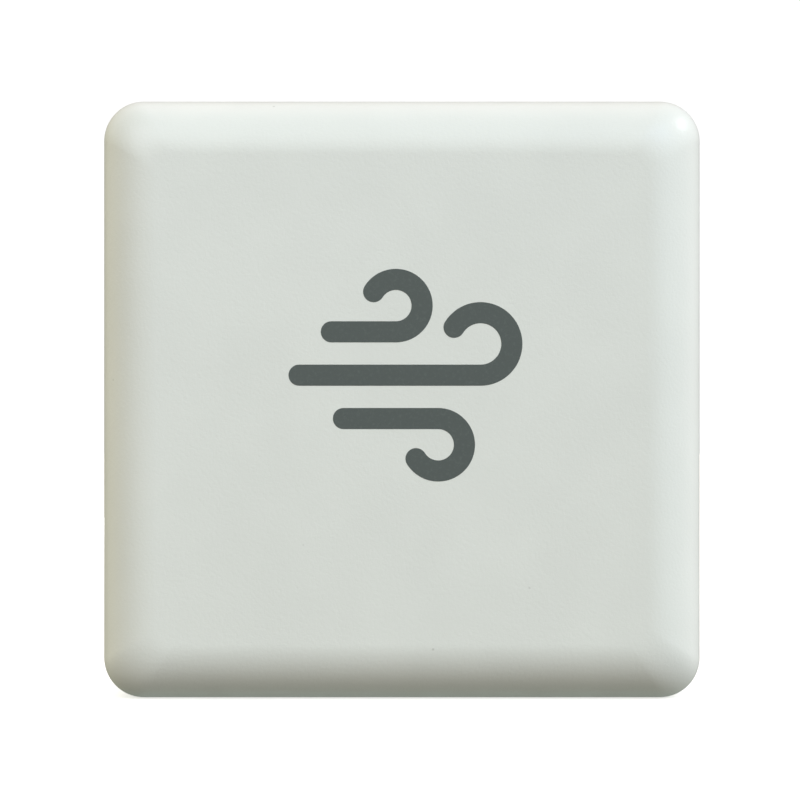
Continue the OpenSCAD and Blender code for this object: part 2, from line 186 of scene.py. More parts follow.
class PrintSettings(bpy.types.PropertyGroup):
    """The generic airflow symbol printed on the face."""

    stroke: FloatProperty(
        name="Stroke", description="Thickness of a stroke, in mm", default=2.1, min=1.0, max=3.0, precision=2)
    pitch: FloatProperty(
        name="Pitch", description="Distance between strokes, in mm", default=4.3, min=3.5, max=6.0)
    curl_r: FloatProperty(
        name="Curl", description="Radius of the longest stroke's curl, in mm", default=3.1, min=2.0, max=3.4)
    curl_turn: FloatProperty(
        name="Turn", description="How far each curl turns, in degrees", default=238.0, min=120.0, max=260.0)
    shift: FloatProperty(
        name="Shift", description="Distance of the symbol right of the face's centre, in mm",
        default=1.2, min=-5.0, max=5.0)
    rise: FloatProperty(
        name="Rise", description="Height of the middle stroke above the face's centre, in mm",
        default=2.4, min=-5.0, max=5.0)


class FinishSettings(bpy.types.PropertyGroup):
    """Colours that a user would change, as sRGB."""

    case_colour: FloatVectorProperty(
        name="Case", description="Moulded case", subtype="COLOR_GAMMA", size=3,
        default=(0.907, 0.926, 0.913), min=0.0, max=1.0)
    ink_colour: FloatVectorProperty(
        name="Ink", description="Printed symbol", subtype="COLOR_GAMMA", size=3,
        default=(0.317, 0.354, 0.350), min=0.0, max=1.0)


# ---------------------------------------------------------------- colours and shader nodes


def to_linear(value):
    """One sRGB channel, 0 to 1, as linear light."""
    return value / 12.92 if value <= 0.04045 else ((value + 0.055) / 1.055) ** 2.4


def colour(code):
    """A linear RGBA colour from an sRGB hex code, or from three sRGB channels."""
    if isinstance(code, str):
        code = [int(code[i:i + 2], 16) / 255 for i in (0, 2, 4)]
    return (*(to_linear(channel) for channel in code), 1.0)


def add_node(tree, kind, inputs=(), **settings):
    """Adds a node, sets its options, and sets or links its inputs, by name or in socket order.

    An input is a plain value, a socket, or a node, which gives its first live output.
    """
    node = tree.nodes.new(kind)
    for key, value in settings.items():
        setattr(node, key, value)
    join(tree, node, inputs)
    return node


def join(tree, node, inputs):
    """Sets or links a node's inputs."""
    for name, value in (inputs if isinstance(inputs, dict) else dict(enumerate(inputs))).items():
        if isinstance(value, bpy.types.Node):
            value = next(socket for socket in value.outputs if socket.enabled)
        if isinstance(value, bpy.types.NodeSocket):
            tree.links.new(value, node.inputs[name])
        else:
            node.inputs[name].default_value = value


def new_material(name, shader):
    """A material with a Principled shader, its tree and its object coordinates."""
    material = bpy.data.materials.new(name)
    material.use_nodes = True
    tree = material.node_tree
    tree.nodes.clear()
    principled = add_node(tree, "ShaderNodeBsdfPrincipled", shader)
    add_node(tree, "ShaderNodeOutputMaterial", {"Surface": principled})
    place = add_node(tree, "ShaderNodeTexCoord").outputs["Object"]
    return material, tree, principled, place


def per_mm(size_mm):
    """Scale of a pattern whose features are size_mm across."""
    return 1 / (size_mm * MM)


def clouds(tree, place, size_mm, low, high, to_low=0.0, to_high=1.0, detail=2.0, broken=0.5):
    """Soft clouds about size_mm across, with low to high of their noise spread over to_low to to_high."""
    cloud = add_node(tree, "ShaderNodeTexNoise",
                     {"Vector": place, "Scale": per_mm(size_mm), "Detail": detail, "Roughness": broken})
    return add_node(tree, "ShaderNodeMapRange", (cloud, low, high, to_low, to_high))


def toned(code, share, lift=0.0):
    """A colour at a share of its brightness, with an even lift."""
    return (*(min(1.0, channel * share + lift) for channel in colour(code)[:3]), 1.0)


def dress(tree, principled, shade, roughness, height, depth_mm, strength=1.0):
    """Gives a shader its finish. Shade is a factor and the two colours it blends."""
    blend = add_node(tree, "ShaderNodeMix", dict(zip((0, 6, 7), shade)), data_type="RGBA")
    relief = add_node(tree, "ShaderNodeBump",
                      {"Height": height, "Distance": depth_mm * MM, "Strength": strength})
    join(tree, principled, {"Base Color": blend, "Roughness": roughness, "Normal": relief})


# ---------------------------------------------------------------- materials


def moulded_abs(name, code, grain_mm=0.32, grain_depth=0.023, roughness=0.34):
    """ABS from a spark-eroded mould: an even fine grain that breaks reflections into a soft sheen."""
    material, tree, principled, place = new_material(name, {"IOR": 1.53})
    # Barely visible clouding of the pigment, 9 mm across
    pigment = clouds(tree, place, 9.0, 0.35, 0.65)
    tint = add_node(tree, "ShaderNodeMix", {0: pigment, 6: colour(code), 7: toned(code, 0.975)},
                    data_type="RGBA")
    # A few dark specks in the resin: a faint dot in one of about thirty cells, 3.2 mm apart
    cells = add_node(tree, "ShaderNodeTexVoronoi", {"Vector": place, "Scale": per_mm(3.2)})
    chosen = add_node(tree, "ShaderNodeSeparateColor", (cells.outputs["Color"],))
    rare = add_node(tree, "ShaderNodeMapRange", (chosen, 0.93, 0.97))
    dot = add_node(tree, "ShaderNodeMapRange", (cells.outputs["Distance"], 0.02, 0.05, 0.35, 0.0))
    speck = add_node(tree, "ShaderNodeMath", (rare, dot), operation="MULTIPLY")
    grain = add_node(tree, "ShaderNodeTexNoise",
                     {"Vector": place, "Scale": per_mm(grain_mm), "Detail": 3.0, "Roughness": 0.6})
    sheen = clouds(tree, place, 2.5, 0.3, 0.7, roughness - 0.03, roughness + 0.05)
    dress(tree, principled, (speck, tint, colour("8A8C84")), sheen, grain, grain_depth)
    return material


def pad_print_ink(name, code):
    """Pad-printed ink: satin, slightly thin where the mould grain shows through."""
    material, tree, principled, place = new_material(name, {"IOR": 1.5})
    thin = clouds(tree, place, 0.35, 0.52, 0.8, 0.0, 0.5, 3.0, 0.7)
    grain = add_node(tree, "ShaderNodeTexNoise",
                     {"Vector": place, "Scale": per_mm(0.28), "Detail": 3.0, "Roughness": 0.6})
    gloss = add_node(tree, "ShaderNodeMapRange", (grain, 0.3, 0.7, 0.42, 0.55))
    dress(tree, principled, (thin, colour(code), toned(code, 1.5, 0.01)), gloss, grain, 0.005)
    return material


def plain_moulding(name, code, roughness=0.45, grain_mm=0.3, depth=0.004):
    """A small moulded part: even colour with slight flow marks and a fine grain."""
    material, tree, principled, place = new_material(name, {"IOR": 1.5})
    flow = clouds(tree, place, 3.0, 0.35, 0.65)
    grain = add_node(tree, "ShaderNodeTexNoise", {"Vector": place, "Scale": per_mm(grain_mm)})
    gloss = add_node(tree, "ShaderNodeMapRange", (grain, 0.3, 0.7, roughness - 0.05, roughness + 0.08))
    dress(tree, principled, (flow, colour(code), toned(code, 0.9)), gloss, grain, depth)
    return material


def worked_metal(name, code, roughness=0.3, line_mm=0.08, stretch=(1.0, 1.0, 0.05), depth=0.002):
    """Drawn, ground or plated metal: fine lines along one way and faint smears of dullness."""
    material, tree, principled, place = new_material(name, {"Metallic": 1.0})
    stretched = add_node(tree, "ShaderNodeMapping", {"Vector": place, "Scale": stretch})
    lines = add_node(tree, "ShaderNodeTexNoise", {"Vector": stretched, "Scale": per_mm(line_mm)})
    smear = clouds(tree, place, 5.0, 0.35, 0.7, detail=3.0)
    gloss = add_node(tree, "ShaderNodeMapRange", (smear, 0.0, 1.0, roughness - 0.04, roughness + 0.05))
    dress(tree, principled, (smear, colour(code), toned(code, 0.93)), gloss, lines, depth)
    return material


def clear_rod(name):
    """Moulded acrylic light guide: clear, with a lightly frosted skin."""
    material, tree, principled, place = new_material(
        name, {"IOR": 1.49, "Transmission Weight": 0.85, "Base Color": colour("EEF2F2")})
    frost = add_node(tree, "ShaderNodeTexNoise", {"Vector": place, "Scale": per_mm(0.2)})
    gloss = add_node(tree, "ShaderNodeMapRange", (frost, 0.3, 0.7, 0.12, 0.3))
    relief = add_node(tree, "ShaderNodeBump", {"Height": frost, "Distance": 0.002 * MM})
    join(tree, principled, {"Roughness": gloss, "Normal": relief})
    return material


def solder_mask(name, code, copper_code):
    """Circuit board: glossy lacquer, raised a little over bundles of copper tracks and over vias."""
    material, tree, principled, place = new_material(name, {"IOR": 1.55})
    # Square patches 6 mm across are routed upright, sideways or not at all; tracks stand 0.5 mm apart
    patches = add_node(tree, "ShaderNodeTexVoronoi", {"Vector": place, "Scale": per_mm(6.0)},
                       distance="CHEBYCHEV")
    kind = add_node(tree, "ShaderNodeSeparateColor", (patches.outputs["Color"],))
    axes = add_node(tree, "ShaderNodeSeparateXYZ", (place,))
    vias = add_node(tree, "ShaderNodeTexVoronoi", {"Vector": place, "Scale": per_mm(3.5)})
    copper = add_node(tree, "ShaderNodeMapRange", (vias.outputs["Distance"], 0.06, 0.085, 1.0, 0.0))
    for axis, low, high in (("X", 0.0, 0.3), ("Z", 0.35, 0.65)):
        value = add_node(tree, "ShaderNodeMath", (axes.outputs[axis], math.tau * per_mm(0.5)),
                         operation="MULTIPLY")
        value = add_node(tree, "ShaderNodeMath", (value,), operation="SINE")
        value = add_node(tree, "ShaderNodeMapRange", (value, -0.1, 0.25))
        for limit, operation in ((low, "GREATER_THAN"), (high, "LESS_THAN")):
            inside = add_node(tree, "ShaderNodeMath", (kind, limit), operation=operation)
            value = add_node(tree, "ShaderNodeMath", (value, inside), operation="MULTIPLY")
        copper = add_node(tree, "ShaderNodeMath", (copper, value), operation="MAXIMUM")
    gloss = clouds(tree, place, 0.4, 0.3, 0.7, 0.24, 0.34)
    dress(tree, principled, (copper, colour(code), colour(copper_code)), gloss, copper, 0.03, 0.5)
    return material


def open_foam(name, code):
    """Cut open-cell foam: matt, pitted with cells about 0.4 mm across, and painted darker in each cell's
    hollow as painted shade.
    """
    material, tree, principled, place = new_material(name, {"IOR": 1.45})
    cells = add_node(tree, "ShaderNodeTexVoronoi", {"Vector": place, "Scale": per_mm(0.4)})
    pit_depth_and_shade = add_node(tree, "ShaderNodeMapRange", (cells.outputs["Distance"], 0.1, 0.6))
    # The pits' colour falls to 35 % of the foam's, which is painted shade in the cell hollows; the same mask
    # also sinks them as bumps
    dress(tree, principled, (pit_depth_and_shade, toned(code, 0.35), colour(code)), 0.95, pit_depth_and_shade, 0.12)
    return material


def make_materials(finish):
    """One material for each slot of the record."""
    return {
        # Off-white and faintly green, with the mould's even grain and a soft sheen
        "case_plastic": moulded_abs("Moulded off-white ABS", finish.case_colour),
        # A shade greyer and nearly smooth, so the cap stands out from the case
        "button_plastic": moulded_abs("Moulded grey-white ABS", "DDDFDB", 0.2, 0.003, 0.36),
        # Satin and a little thin over the grain
        "face_ink": pad_print_ink("Pad-printed grey ink", finish.ink_colour),
        # Clear and lightly frosted, so it glows evenly
        "clear_plastic": clear_rod("Clear acrylic"),
        # Bright, cool zinc with faint lines from turning
        "screw_steel": worked_metal("Zinc-plated steel", "B9BCBE", 0.28, 0.05),
        # Dull grey drawn wire
        "mesh_steel": worked_metal("Woven stainless wire", "A4A4A2", 0.32, 0.05),
        # Pale and slightly warm, with soft smears from rolling
        "plated_steel": worked_metal("Tin-plated steel sheet", "BDBDB8", 0.3, 0.12),
        # Nearly a mirror, with hair-fine lines
        "ground_steel": worked_metal("Ground steel", "C8C9CB", 0.16, 0.03),
        # Satin, with the broad uneven skin of a casting
        "cast_aluminium": worked_metal("Die-cast aluminium", "A9AAAC", 0.42, 0.5, (1, 1, 1), 0.01),
        # Bright with lines along the draw
        "can_aluminium": worked_metal("Drawn aluminium can", "CDCED0", 0.3, 0.1),
        # Warm yellow, lathe-turned
        "brass_can": worked_metal("Turned brass", "C9A25E", 0.25, 0.05),
        # Brown and dull, with the pores of pressed powder
        "bronze_bush": worked_metal("Sintered bronze", "A97F4C", 0.45, 0.1, (1, 1, 1), 0.006),
        # Red-brown lacquered wire, ridged along the turns
        "coil_copper": worked_metal("Enamelled copper wire", "A65A32", 0.3, 0.12, (0.1, 1, 0.1), 0.02),
        # Matt black and matt white, both pitted with cut cells and painted darker in the cells as painted
        # shade
        "foam": open_foam("Black polyurethane foam", "2C2C2E"),
        "foam_tape": open_foam("White foam tape", "DCDCD6"),
        # Smooth and glossy
        "wire_sleeve": plain_moulding("Black wire sleeve", "1D1D1F", 0.35),
        # Glossy lacquer over copper, bright green and near-black
        "board_green": solder_mask("Green solder mask", "10492C", "1E6340"),
        "board_dark": solder_mask("Black-blue solder mask", "151D26", "222E3B"),
        # Matt and sandy, as filled epoxy is
        "chip_black": plain_moulding("Black moulded epoxy", "202022", 0.55, 0.12),
        # Tan and smooth
        "chip_ceramic": plain_moulding("Fired ceramic", "A48560", 0.4, 0.1),
        # Cream white, smooth
        "led_white": plain_moulding("White LED package", "EDECE2", 0.4, 0.1),
        # Black with a low gloss
        "black_plastic": plain_moulding("Black moulded PBT", "191A1C", 0.42),
        # Unpigmented, a warm ivory
        "connector_nylon": plain_moulding("Natural nylon", "E6DFC8", 0.45),
    }


# ---------------------------------------------------------------- mesh helpers, in millimetres


def as_object(name, mesh_source, material):
    """An object at the origin from a bmesh, with one material."""
    mesh = bpy.data.meshes.new(name)
    mesh_source.to_mesh(mesh)
    mesh_source.free()
    if "custom_normal" in mesh.attributes:
        mesh.attributes.remove(mesh.attributes["custom_normal"])
    mesh.materials.append(material)
    made = bpy.data.objects.new(name, mesh)
    bpy.context.scene.collection.objects.link(made)
    return made


def square_ring(half, radius, y, steps):
    """Points round a square with round corners, standing at depth y."""
    points = []
    for quarter in range(4):
        side_x = 1 if quarter in (0, 3) else -1
        side_z = 1 if quarter in (0, 1) else -1
        for step in range(steps + 1):
            angle = (quarter + step / steps) * math.pi / 2
            points.append(Vector((side_x * (half - radius) + radius * math.cos(angle), y,
                                  MID_Z + side_z * (half - radius) + radius * math.sin(angle))))
    return points


def add_skin(solid, rings):
    """Adds a closed solid through a chain of rings with as many points each, capped at both ends."""
    loops = [[solid.verts.new(point) for point in ring] for ring in rings]
    faces = [solid.faces.new(loops[0][::-1]), solid.faces.new(loops[-1])]
    for first, second in zip(loops, loops[1:]):
        for i in range(len(first)):
            faces.append(solid.faces.new((first[i - 1], first[i], second[i], second[i - 1])))
    bmesh.ops.recalc_face_normals(solid, faces=faces)


def arc_points(u, v, radius, start, turn, steps):
    """Points of an arc round (u, v), angles in degrees."""
    return [(u + radius * math.cos(math.radians(start + turn * i / steps)),
             v + radius * math.sin(math.radians(start + turn * i / steps))) for i in range(steps + 1)]


def circle_outline(u, v, radius, steps=40):
    """A round outline."""
    return arc_points(u, v, radius, 0, 360, steps)[:-1]


def box_outline(u0, v0, u1, v1):
    """A rectangular outline."""
    return [(u0, v0), (u1, v0), (u1, v1), (u0, v1)]


def round_box_outline(u, v, width, height, radius, steps=8):
    """A rectangle with round corners, centred on (u, v)."""
    outline = []
    for quarter in range(4):
        side_u = 1 if quarter in (0, 3) else -1
        side_v = 1 if quarter in (0, 1) else -1
        outline += arc_points(u + side_u * (width / 2 - radius), v + side_v * (height / 2 - radius),
                              radius, quarter * 90, 90, steps)
    return outline


def keyhole_outline(u, v):
    """A round entry with a narrower round-ended slot rising from it."""
    gap = math.degrees(math.asin(KEYHOLE_SLOT_R / KEYHOLE_R))
    entry = arc_points(u, v, KEYHOLE_R, 90 + gap, 360 - 2 * gap, 40)
    return entry + arc_points(u, v + KEYHOLE_RUN, KEYHOLE_SLOT_R, 0, 180, 16)


def add_prism(solid, outline, axis, low, high):
    """Adds a closed prism to a bmesh. The outline is in X and Z for axis Y, and in X and Y for axis Z."""
    add_skin(solid, [[(u, w, v) if axis == "Y" else (u, v, w) for u, v in outline] for w in (low, high)])


def add_lathe(solid, profile, centre, axis="Z", steps=48):
    """Adds a closed turned solid. The profile is (radius, height) pairs from pole to pole, or in a loop."""
    def place(radius, height, angle):
        u, v = radius * math.cos(angle), radius * math.sin(angle)
        return Vector(centre) + Vector((u, v, height) if axis == "Z" else (u, height, v))
    rings = []
    for radius, height in profile:
        if rings and (radius, height) == profile[0]:
            rings.append(rings[0])
        elif radius == 0:
            rings.append([solid.verts.new(place(0, height, 0))] * steps)
        else:
            rings.append([solid.verts.new(place(radius, height, math.tau * i / steps)) for i in range(steps)])
    faces = []
    for first, second in zip(rings, rings[1:]):
        for i in range(steps):
            corners = list(dict.fromkeys((first[i - 1], first[i], second[i], second[i - 1])))
            if len(corners) > 2:
                faces.append(solid.faces.new(corners))
    bmesh.ops.recalc_face_normals(solid, faces=faces)


def evaluated_copy(made, name):
    """The object with its modifiers applied, as a plain mesh, in place of the object."""
    graph = bpy.context.evaluated_depsgraph_get()
    mesh = bpy.data.meshes.new_from_object(made.evaluated_get(graph), preserve_all_data_layers=True,
                                           depsgraph=graph)
    mesh.name = name
    made.modifiers.clear()
    old = made.data
    made.data = mesh
    bpy.data.meshes.remove(old)
    made.name = name
    return made


def clean(made, distance=0.002):
    """Merges points that fall together and removes faces without area."""
    solid = bmesh.new()
    solid.from_mesh(made.data)
    bmesh.ops.remove_doubles(solid, verts=solid.verts, dist=distance)
    bmesh.ops.dissolve_degenerate(solid, dist=distance, edges=solid.edges)
    rims = [edge for edge in solid.edges if edge.is_boundary]
    if rims:
        bmesh.ops.holes_fill(solid, edges=rims, sides=0)
    bmesh.ops.recalc_face_normals(solid, faces=solid.faces)
    solid.to_mesh(made.data)
    solid.free()


def combine(target, tool_solid, operation):
    """Joins or cuts the target by a bmesh of closed solids."""
    tool = as_object("tool", tool_solid, target.data.materials[0])
    change = target.modifiers.new("combine", "BOOLEAN")
    change.operation = operation
    change.solver = "EXACT"
    change.object = tool
    evaluated_copy(target, target.name)
    old = tool.data
    bpy.data.objects.remove(tool)
    bpy.data.meshes.remove(old)
    clean(target)


def mark_edges(made, limit_degrees=32):
    """Smooth faces, with a sharp edge wherever two faces meet at more than the limit."""
    solid = bmesh.new()
    solid.from_mesh(made.data)
    for face in solid.faces:
        face.smooth = True
    for edge in solid.edges:
        edge.smooth = len(edge.link_faces) == 2 and edge.calc_face_angle(0) < math.radians(limit_degrees)
    solid.to_mesh(made.data)
    solid.free()


def round_edges(made, width, segments=2, limit_degrees=40):
    """Rounds the sharp edges by a small width."""
    rounding = made.modifiers.new("rounding", "BEVEL")
    rounding.width = width
    rounding.segments = segments
    rounding.limit_method = "ANGLE"
    rounding.angle_limit = math.radians(limit_degrees)
    rounding.miter_outer = "MITER_ARC"
    evaluated_copy(made, made.name)
    clean(made)


def settle_shading(made):
    """Lets the large faces set the shading of the small ones between them."""
    mark_edges(made)
    weights = made.modifiers.new("weights", "WEIGHTED_NORMAL")
    weights.keep_sharp = True
    weights.weight = 80
    evaluated_copy(made, made.name)


def break_edges(made, width, segments=2):
    """Rounds the sharp edges and settles the shading."""
    round_edges(made, width, segments)
    settle_shading(made)


def slot_of(node):
    """The record's material slot of a CAD node."""
    return next(row["material_slot"] for row in frame["record"]["subparts"] if row["node"] == node)


def body_of(node):
    """The body that a CAD node rides on."""
    return next(body for body, members in frame["record"]["behaviour"]["bodies"].items() if node in members)


def softened(node, width, segments=2, cut=None):
    """A copy of a CAD node in millimetres, merged into clean faces, cut if asked, with its edges rounded."""
    solid = bmesh.new()
    solid.from_mesh(frame["nodes"][node].data)
    bmesh.ops.transform(solid, matrix=Matrix.Scale(1 / MM, 4), verts=solid.verts)
    bmesh.ops.remove_doubles(solid, verts=solid.verts, dist=0.001)
    bmesh.ops.dissolve_limit(solid, angle_limit=math.radians(1), verts=solid.verts, edges=solid.edges)
    bmesh.ops.dissolve_degenerate(solid, dist=0.002, edges=solid.edges)
    made = as_object(node + "_soft", solid, MATERIALS[slot_of(node)])
    if cut is not None:
        combine(made, cut, "DIFFERENCE")
    break_edges(made, width, segments)
    return made


def soften(widths):
    """Shows a softened copy of each named node in its place."""
    for node, width in widths.items():
        finish_piece(softened(node, width), body_of(node), slot_of(node), node)


def finish_piece(made, body, slot, *nodes):
    """Brings a piece to metres and hands it to the frame."""
    made.data.transform(Matrix.Scale(MM, 4))
    made.data.update()
    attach(made, body)
    if nodes:
        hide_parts(*nodes)


# ---------------------------------------------------------------- geometry node helpers


def new_tree(name, sizes):
    """A geometry tree with one float or integer input for each named size."""
    tree = bpy.data.node_groups.new(name, "GeometryNodeTree")
    tree.interface.new_socket("Geometry", in_out="INPUT", socket_type="NodeSocketGeometry")
    for label, value in sizes.items():
        kind = "NodeSocketInt" if isinstance(value, int) else "NodeSocketFloat"
        socket = tree.interface.new_socket(label, in_out="INPUT", socket_type=kind)
        socket.default_value = value
    tree.interface.new_socket("Geometry", in_out="OUTPUT", socket_type="NodeSocketGeometry")
    return tree, add_node(tree, "NodeGroupInput"), add_node(tree, "NodeGroupOutput")


def close_tree(tree, output, geometry, material):
    """Ends a tree in Realize Instances and Set Material."""
    real = add_node(tree, "GeometryNodeRealizeInstances", {"Geometry": geometry})
    painted = add_node(tree, "GeometryNodeSetMaterial", {"Geometry": real, "Material": material})
    join(tree, output, (painted,))


def grow(name, seed_solid, tree, sizes, material):
    """Runs a tree on a seed mesh and returns the result as a plain object."""
    made = as_object(name, seed_solid, material)
    run = made.modifiers.new("grow", "NODES")
    run.node_group = tree
    for item in tree.interface.items_tree:
        if item.in_out == "INPUT" and item.name in sizes:
            run[item.identifier] = sizes[item.name]
    evaluated_copy(made, name)
    bpy.data.node_groups.remove(tree)
    return made


def repeat_in_grid(name, seed, material, counts, pitches, place=(0, 0, 0), upright=False):
    """Repeats a seed over a centred grid at a place, flat in X and Y, or upright in X and Z."""
    sizes = {"Columns": counts[0], "Rows": counts[1], "Width": pitches[0] * (counts[0] - 1) + 1e-4,
             "Depth": pitches[1] * (counts[1] - 1) + 1e-4, "Tilt": math.pi / 2 if upright else 0.0}
    tree, given, output = new_tree("repeat in a grid", sizes)
    points = add_node(tree, "GeometryNodeMeshGrid",
                      {"Vertices X": given.outputs["Columns"], "Vertices Y": given.outputs["Rows"],
                       "Size X": given.outputs["Width"], "Size Y": given.outputs["Depth"]})
    turn = add_node(tree, "ShaderNodeCombineXYZ", {"X": given.outputs["Tilt"]})
    turned = add_node(tree, "GeometryNodeTransform", {"Geometry": points.outputs["Mesh"], "Rotation": turn})
    placed = add_node(tree, "GeometryNodeInstanceOnPoints",
                      {"Points": turned, "Instance": given.outputs["Geometry"]})
    close_tree(tree, output, placed, material)
    made = grow(name, seed, tree, sizes, material)
    made.data.transform(Matrix.Translation(place))
    return made


def repeat_round_y(name, seed, material, count):
    """Repeats a seed evenly round the Y axis."""
    sizes = {"Count": count, "Step": math.tau / count}
    tree, given, output = new_tree("repeat round an axis", sizes)
    points = add_node(tree, "GeometryNodeMeshLine", {"Count": given.outputs["Count"], "Offset": (0, 0, 0)})
    index = add_node(tree, "GeometryNodeInputIndex")
    angle = add_node(tree, "ShaderNodeMath", (index, given.outputs["Step"]), operation="MULTIPLY")
    turn = add_node(tree, "ShaderNodeCombineXYZ", {"Y": angle})
    placed = add_node(tree, "GeometryNodeInstanceOnPoints",
                      {"Points": points, "Instance": given.outputs["Geometry"], "Rotation": turn})
    close_tree(tree, output, placed, material)
    return grow(name, seed, tree, sizes, material)


# ---------------------------------------------------------------- pieces of the case


def pour(holder, solid):
    """Moves the mesh of a helper object into a bmesh and removes the object."""
    mesh = holder.data
    solid.from_mesh(mesh)
    bpy.data.objects.remove(holder)
    bpy.data.meshes.remove(mesh)


def moulding(name, slot, *parts):
    """An object from parts, each a function that adds a solid to a bmesh with the arguments after it."""
    solid = bmesh.new()
    for add, *arguments in parts:
        add(solid, *arguments)
    return as_object(name, solid, MATERIALS[slot])


def boss_places():
    """Centres of the four corner bosses, in X and Z."""
    return [(sx * (HALF_W - BOSS_OFF), MID_Z + sz * (HALF_W - BOSS_OFF)) for sx in (-1, 1) for sz in (-1, 1)]


def post_places():
    """Centres of the four board posts, in X and Z."""
    return [(sx * POST_X, z) for sx in (-1, 1) for z in POST_ZS]


def rolled_edge(half, corner, face_corner, radius, face_y, steps, count, back=False):
    """Rings of the edge from the flat face round to the side wall."""
    toward = -1 if back else 1
    rings = []
    for i in range(steps + 1):
        angle = math.pi / 2 * (1 - i / steps)
        inset = radius * (1 - math.cos(angle))
        depth = radius * (1 - math.sin(angle))
        share = inset / radius
        rings.append(square_ring(half - inset, corner + (face_corner - corner) * share,
                                 face_y + toward * depth, count))
    return rings


def front_rings(case):
    """Rings of the cap: soft edge outside, rebate for the rear cover's lip, hollow inside."""
    count, flat, inset = case.corner_steps, HALF_W - case.edge_r, WALL - REBATE_T
    rings = [square_ring(flat - 3.0, 0.6, FACE_Y, count),
             square_ring(flat - 0.25, case.face_corner_r, FACE_Y, count)]
    rings += rolled_edge(HALF_W, CORNER_R, case.face_corner_r, case.edge_r, FACE_Y, case.edge_steps, count)
    rings += [square_ring(HALF_W - step, CORNER_R - step, y, count) for step, y in (
        (0, FACE_Y + case.edge_r + 0.25), (0, SPLIT_Y), (inset, SPLIT_Y), (inset, BOSS_END_Y),
        (WALL, BOSS_END_Y))]
    inner = rolled_edge(HALF_W - WALL, CORNER_R - WALL, 0.8, case.edge_r - WALL, INNER_FRONT_Y, 10, count)
    return rings + inner[::-1] + [square_ring(flat - 3.0, 0.6, INNER_FRONT_Y, count)]


def rear_rings(case):
    """Rings of the tub: small rear edge, shadow line at the joint, lip, hollow inside."""
    count, inset, lip_y = case.corner_steps, WALL - LIP_T, SPLIT_Y - LIP_H
    face_corner = CORNER_R - REAR_EDGE_R
    rings = [square_ring(HALF_W - REAR_EDGE_R - 0.25, face_corner, BACK_Y, count)]
    rings += rolled_edge(HALF_W, CORNER_R, face_corner, REAR_EDGE_R, BACK_Y, 10, count, back=True)
    return rings + [square_ring(HALF_W - step, CORNER_R - step, y, count) for step, y in (
        (0, BACK_Y - REAR_EDGE_R - 0.25), (0, SPLIT_Y + SHADOW_H), (SHADOW_T, SPLIT_Y + SHADOW_H),
        (SHADOW_T, SPLIT_Y), (inset, SPLIT_Y), (inset, lip_y), (WALL, lip_y), (WALL, INNER_BACK_Y))]


def air_slots(case, material):
    """Cutters for both groups of air slots, grown in rows."""
    groups = bmesh.new()
    outline = round_box_outline(0, 0, case.slot_w, case.slot_l, case.slot_w / 2 - 0.01, 6)
    for centre in SLOT_GROUPS:
        seed = bmesh.new()
        add_prism(seed, outline, "Z", -PAST, WALL + PAST)
        pour(repeat_in_grid("slots", seed, material, (case.slot_count, 1), (case.slot_pitch, 1.0),
                            (centre, SLOT_Y, 0)), groups)
    return groups


class MONITOR_OT_front_cover(bpy.types.Operator):
    """Builds the front cover with its soft edge and air slots"""

    bl_idname = "monitor.front_cover"
    bl_label = "Front cover"

    def execute(self, context):
        case = context.scene.monitor_case
        cover = moulding("front_cover_shell", "case_plastic", (add_skin, front_rings(case)))
        combine(cover, air_slots(case, MATERIALS["case_plastic"]), "DIFFERENCE")
        round_edges(cover, case.break_edge)
        added, cut = bmesh.new(), bmesh.new()
        for x, z in boss_places():
            add_prism(added, circle_outline(x, z, BOSS_R), "Y", INNER_FRONT_Y - ROOT, BOSS_END_Y)
            add_prism(cut, circle_outline(x, z, PILOT_R, 24), "Y", BOSS_END_Y - PILOT_L, BOSS_END_Y + PAST)
        for x in (-RIB_X, RIB_X):
            add_prism(added, box_outline(x - RIB_T / 2, RIB_LOW_Z, x + RIB_T / 2, RIB_HIGH_Z), "Y",
                      INNER_FRONT_Y - ROOT, SENSOR_FRONT_Y)
        combine(cover, added, "UNION")
        combine(cover, cut, "DIFFERENCE")
        settle_shading(cover)
        finish_piece(cover, "case", "case_plastic", "front_cover")
        return {"FINISHED"}


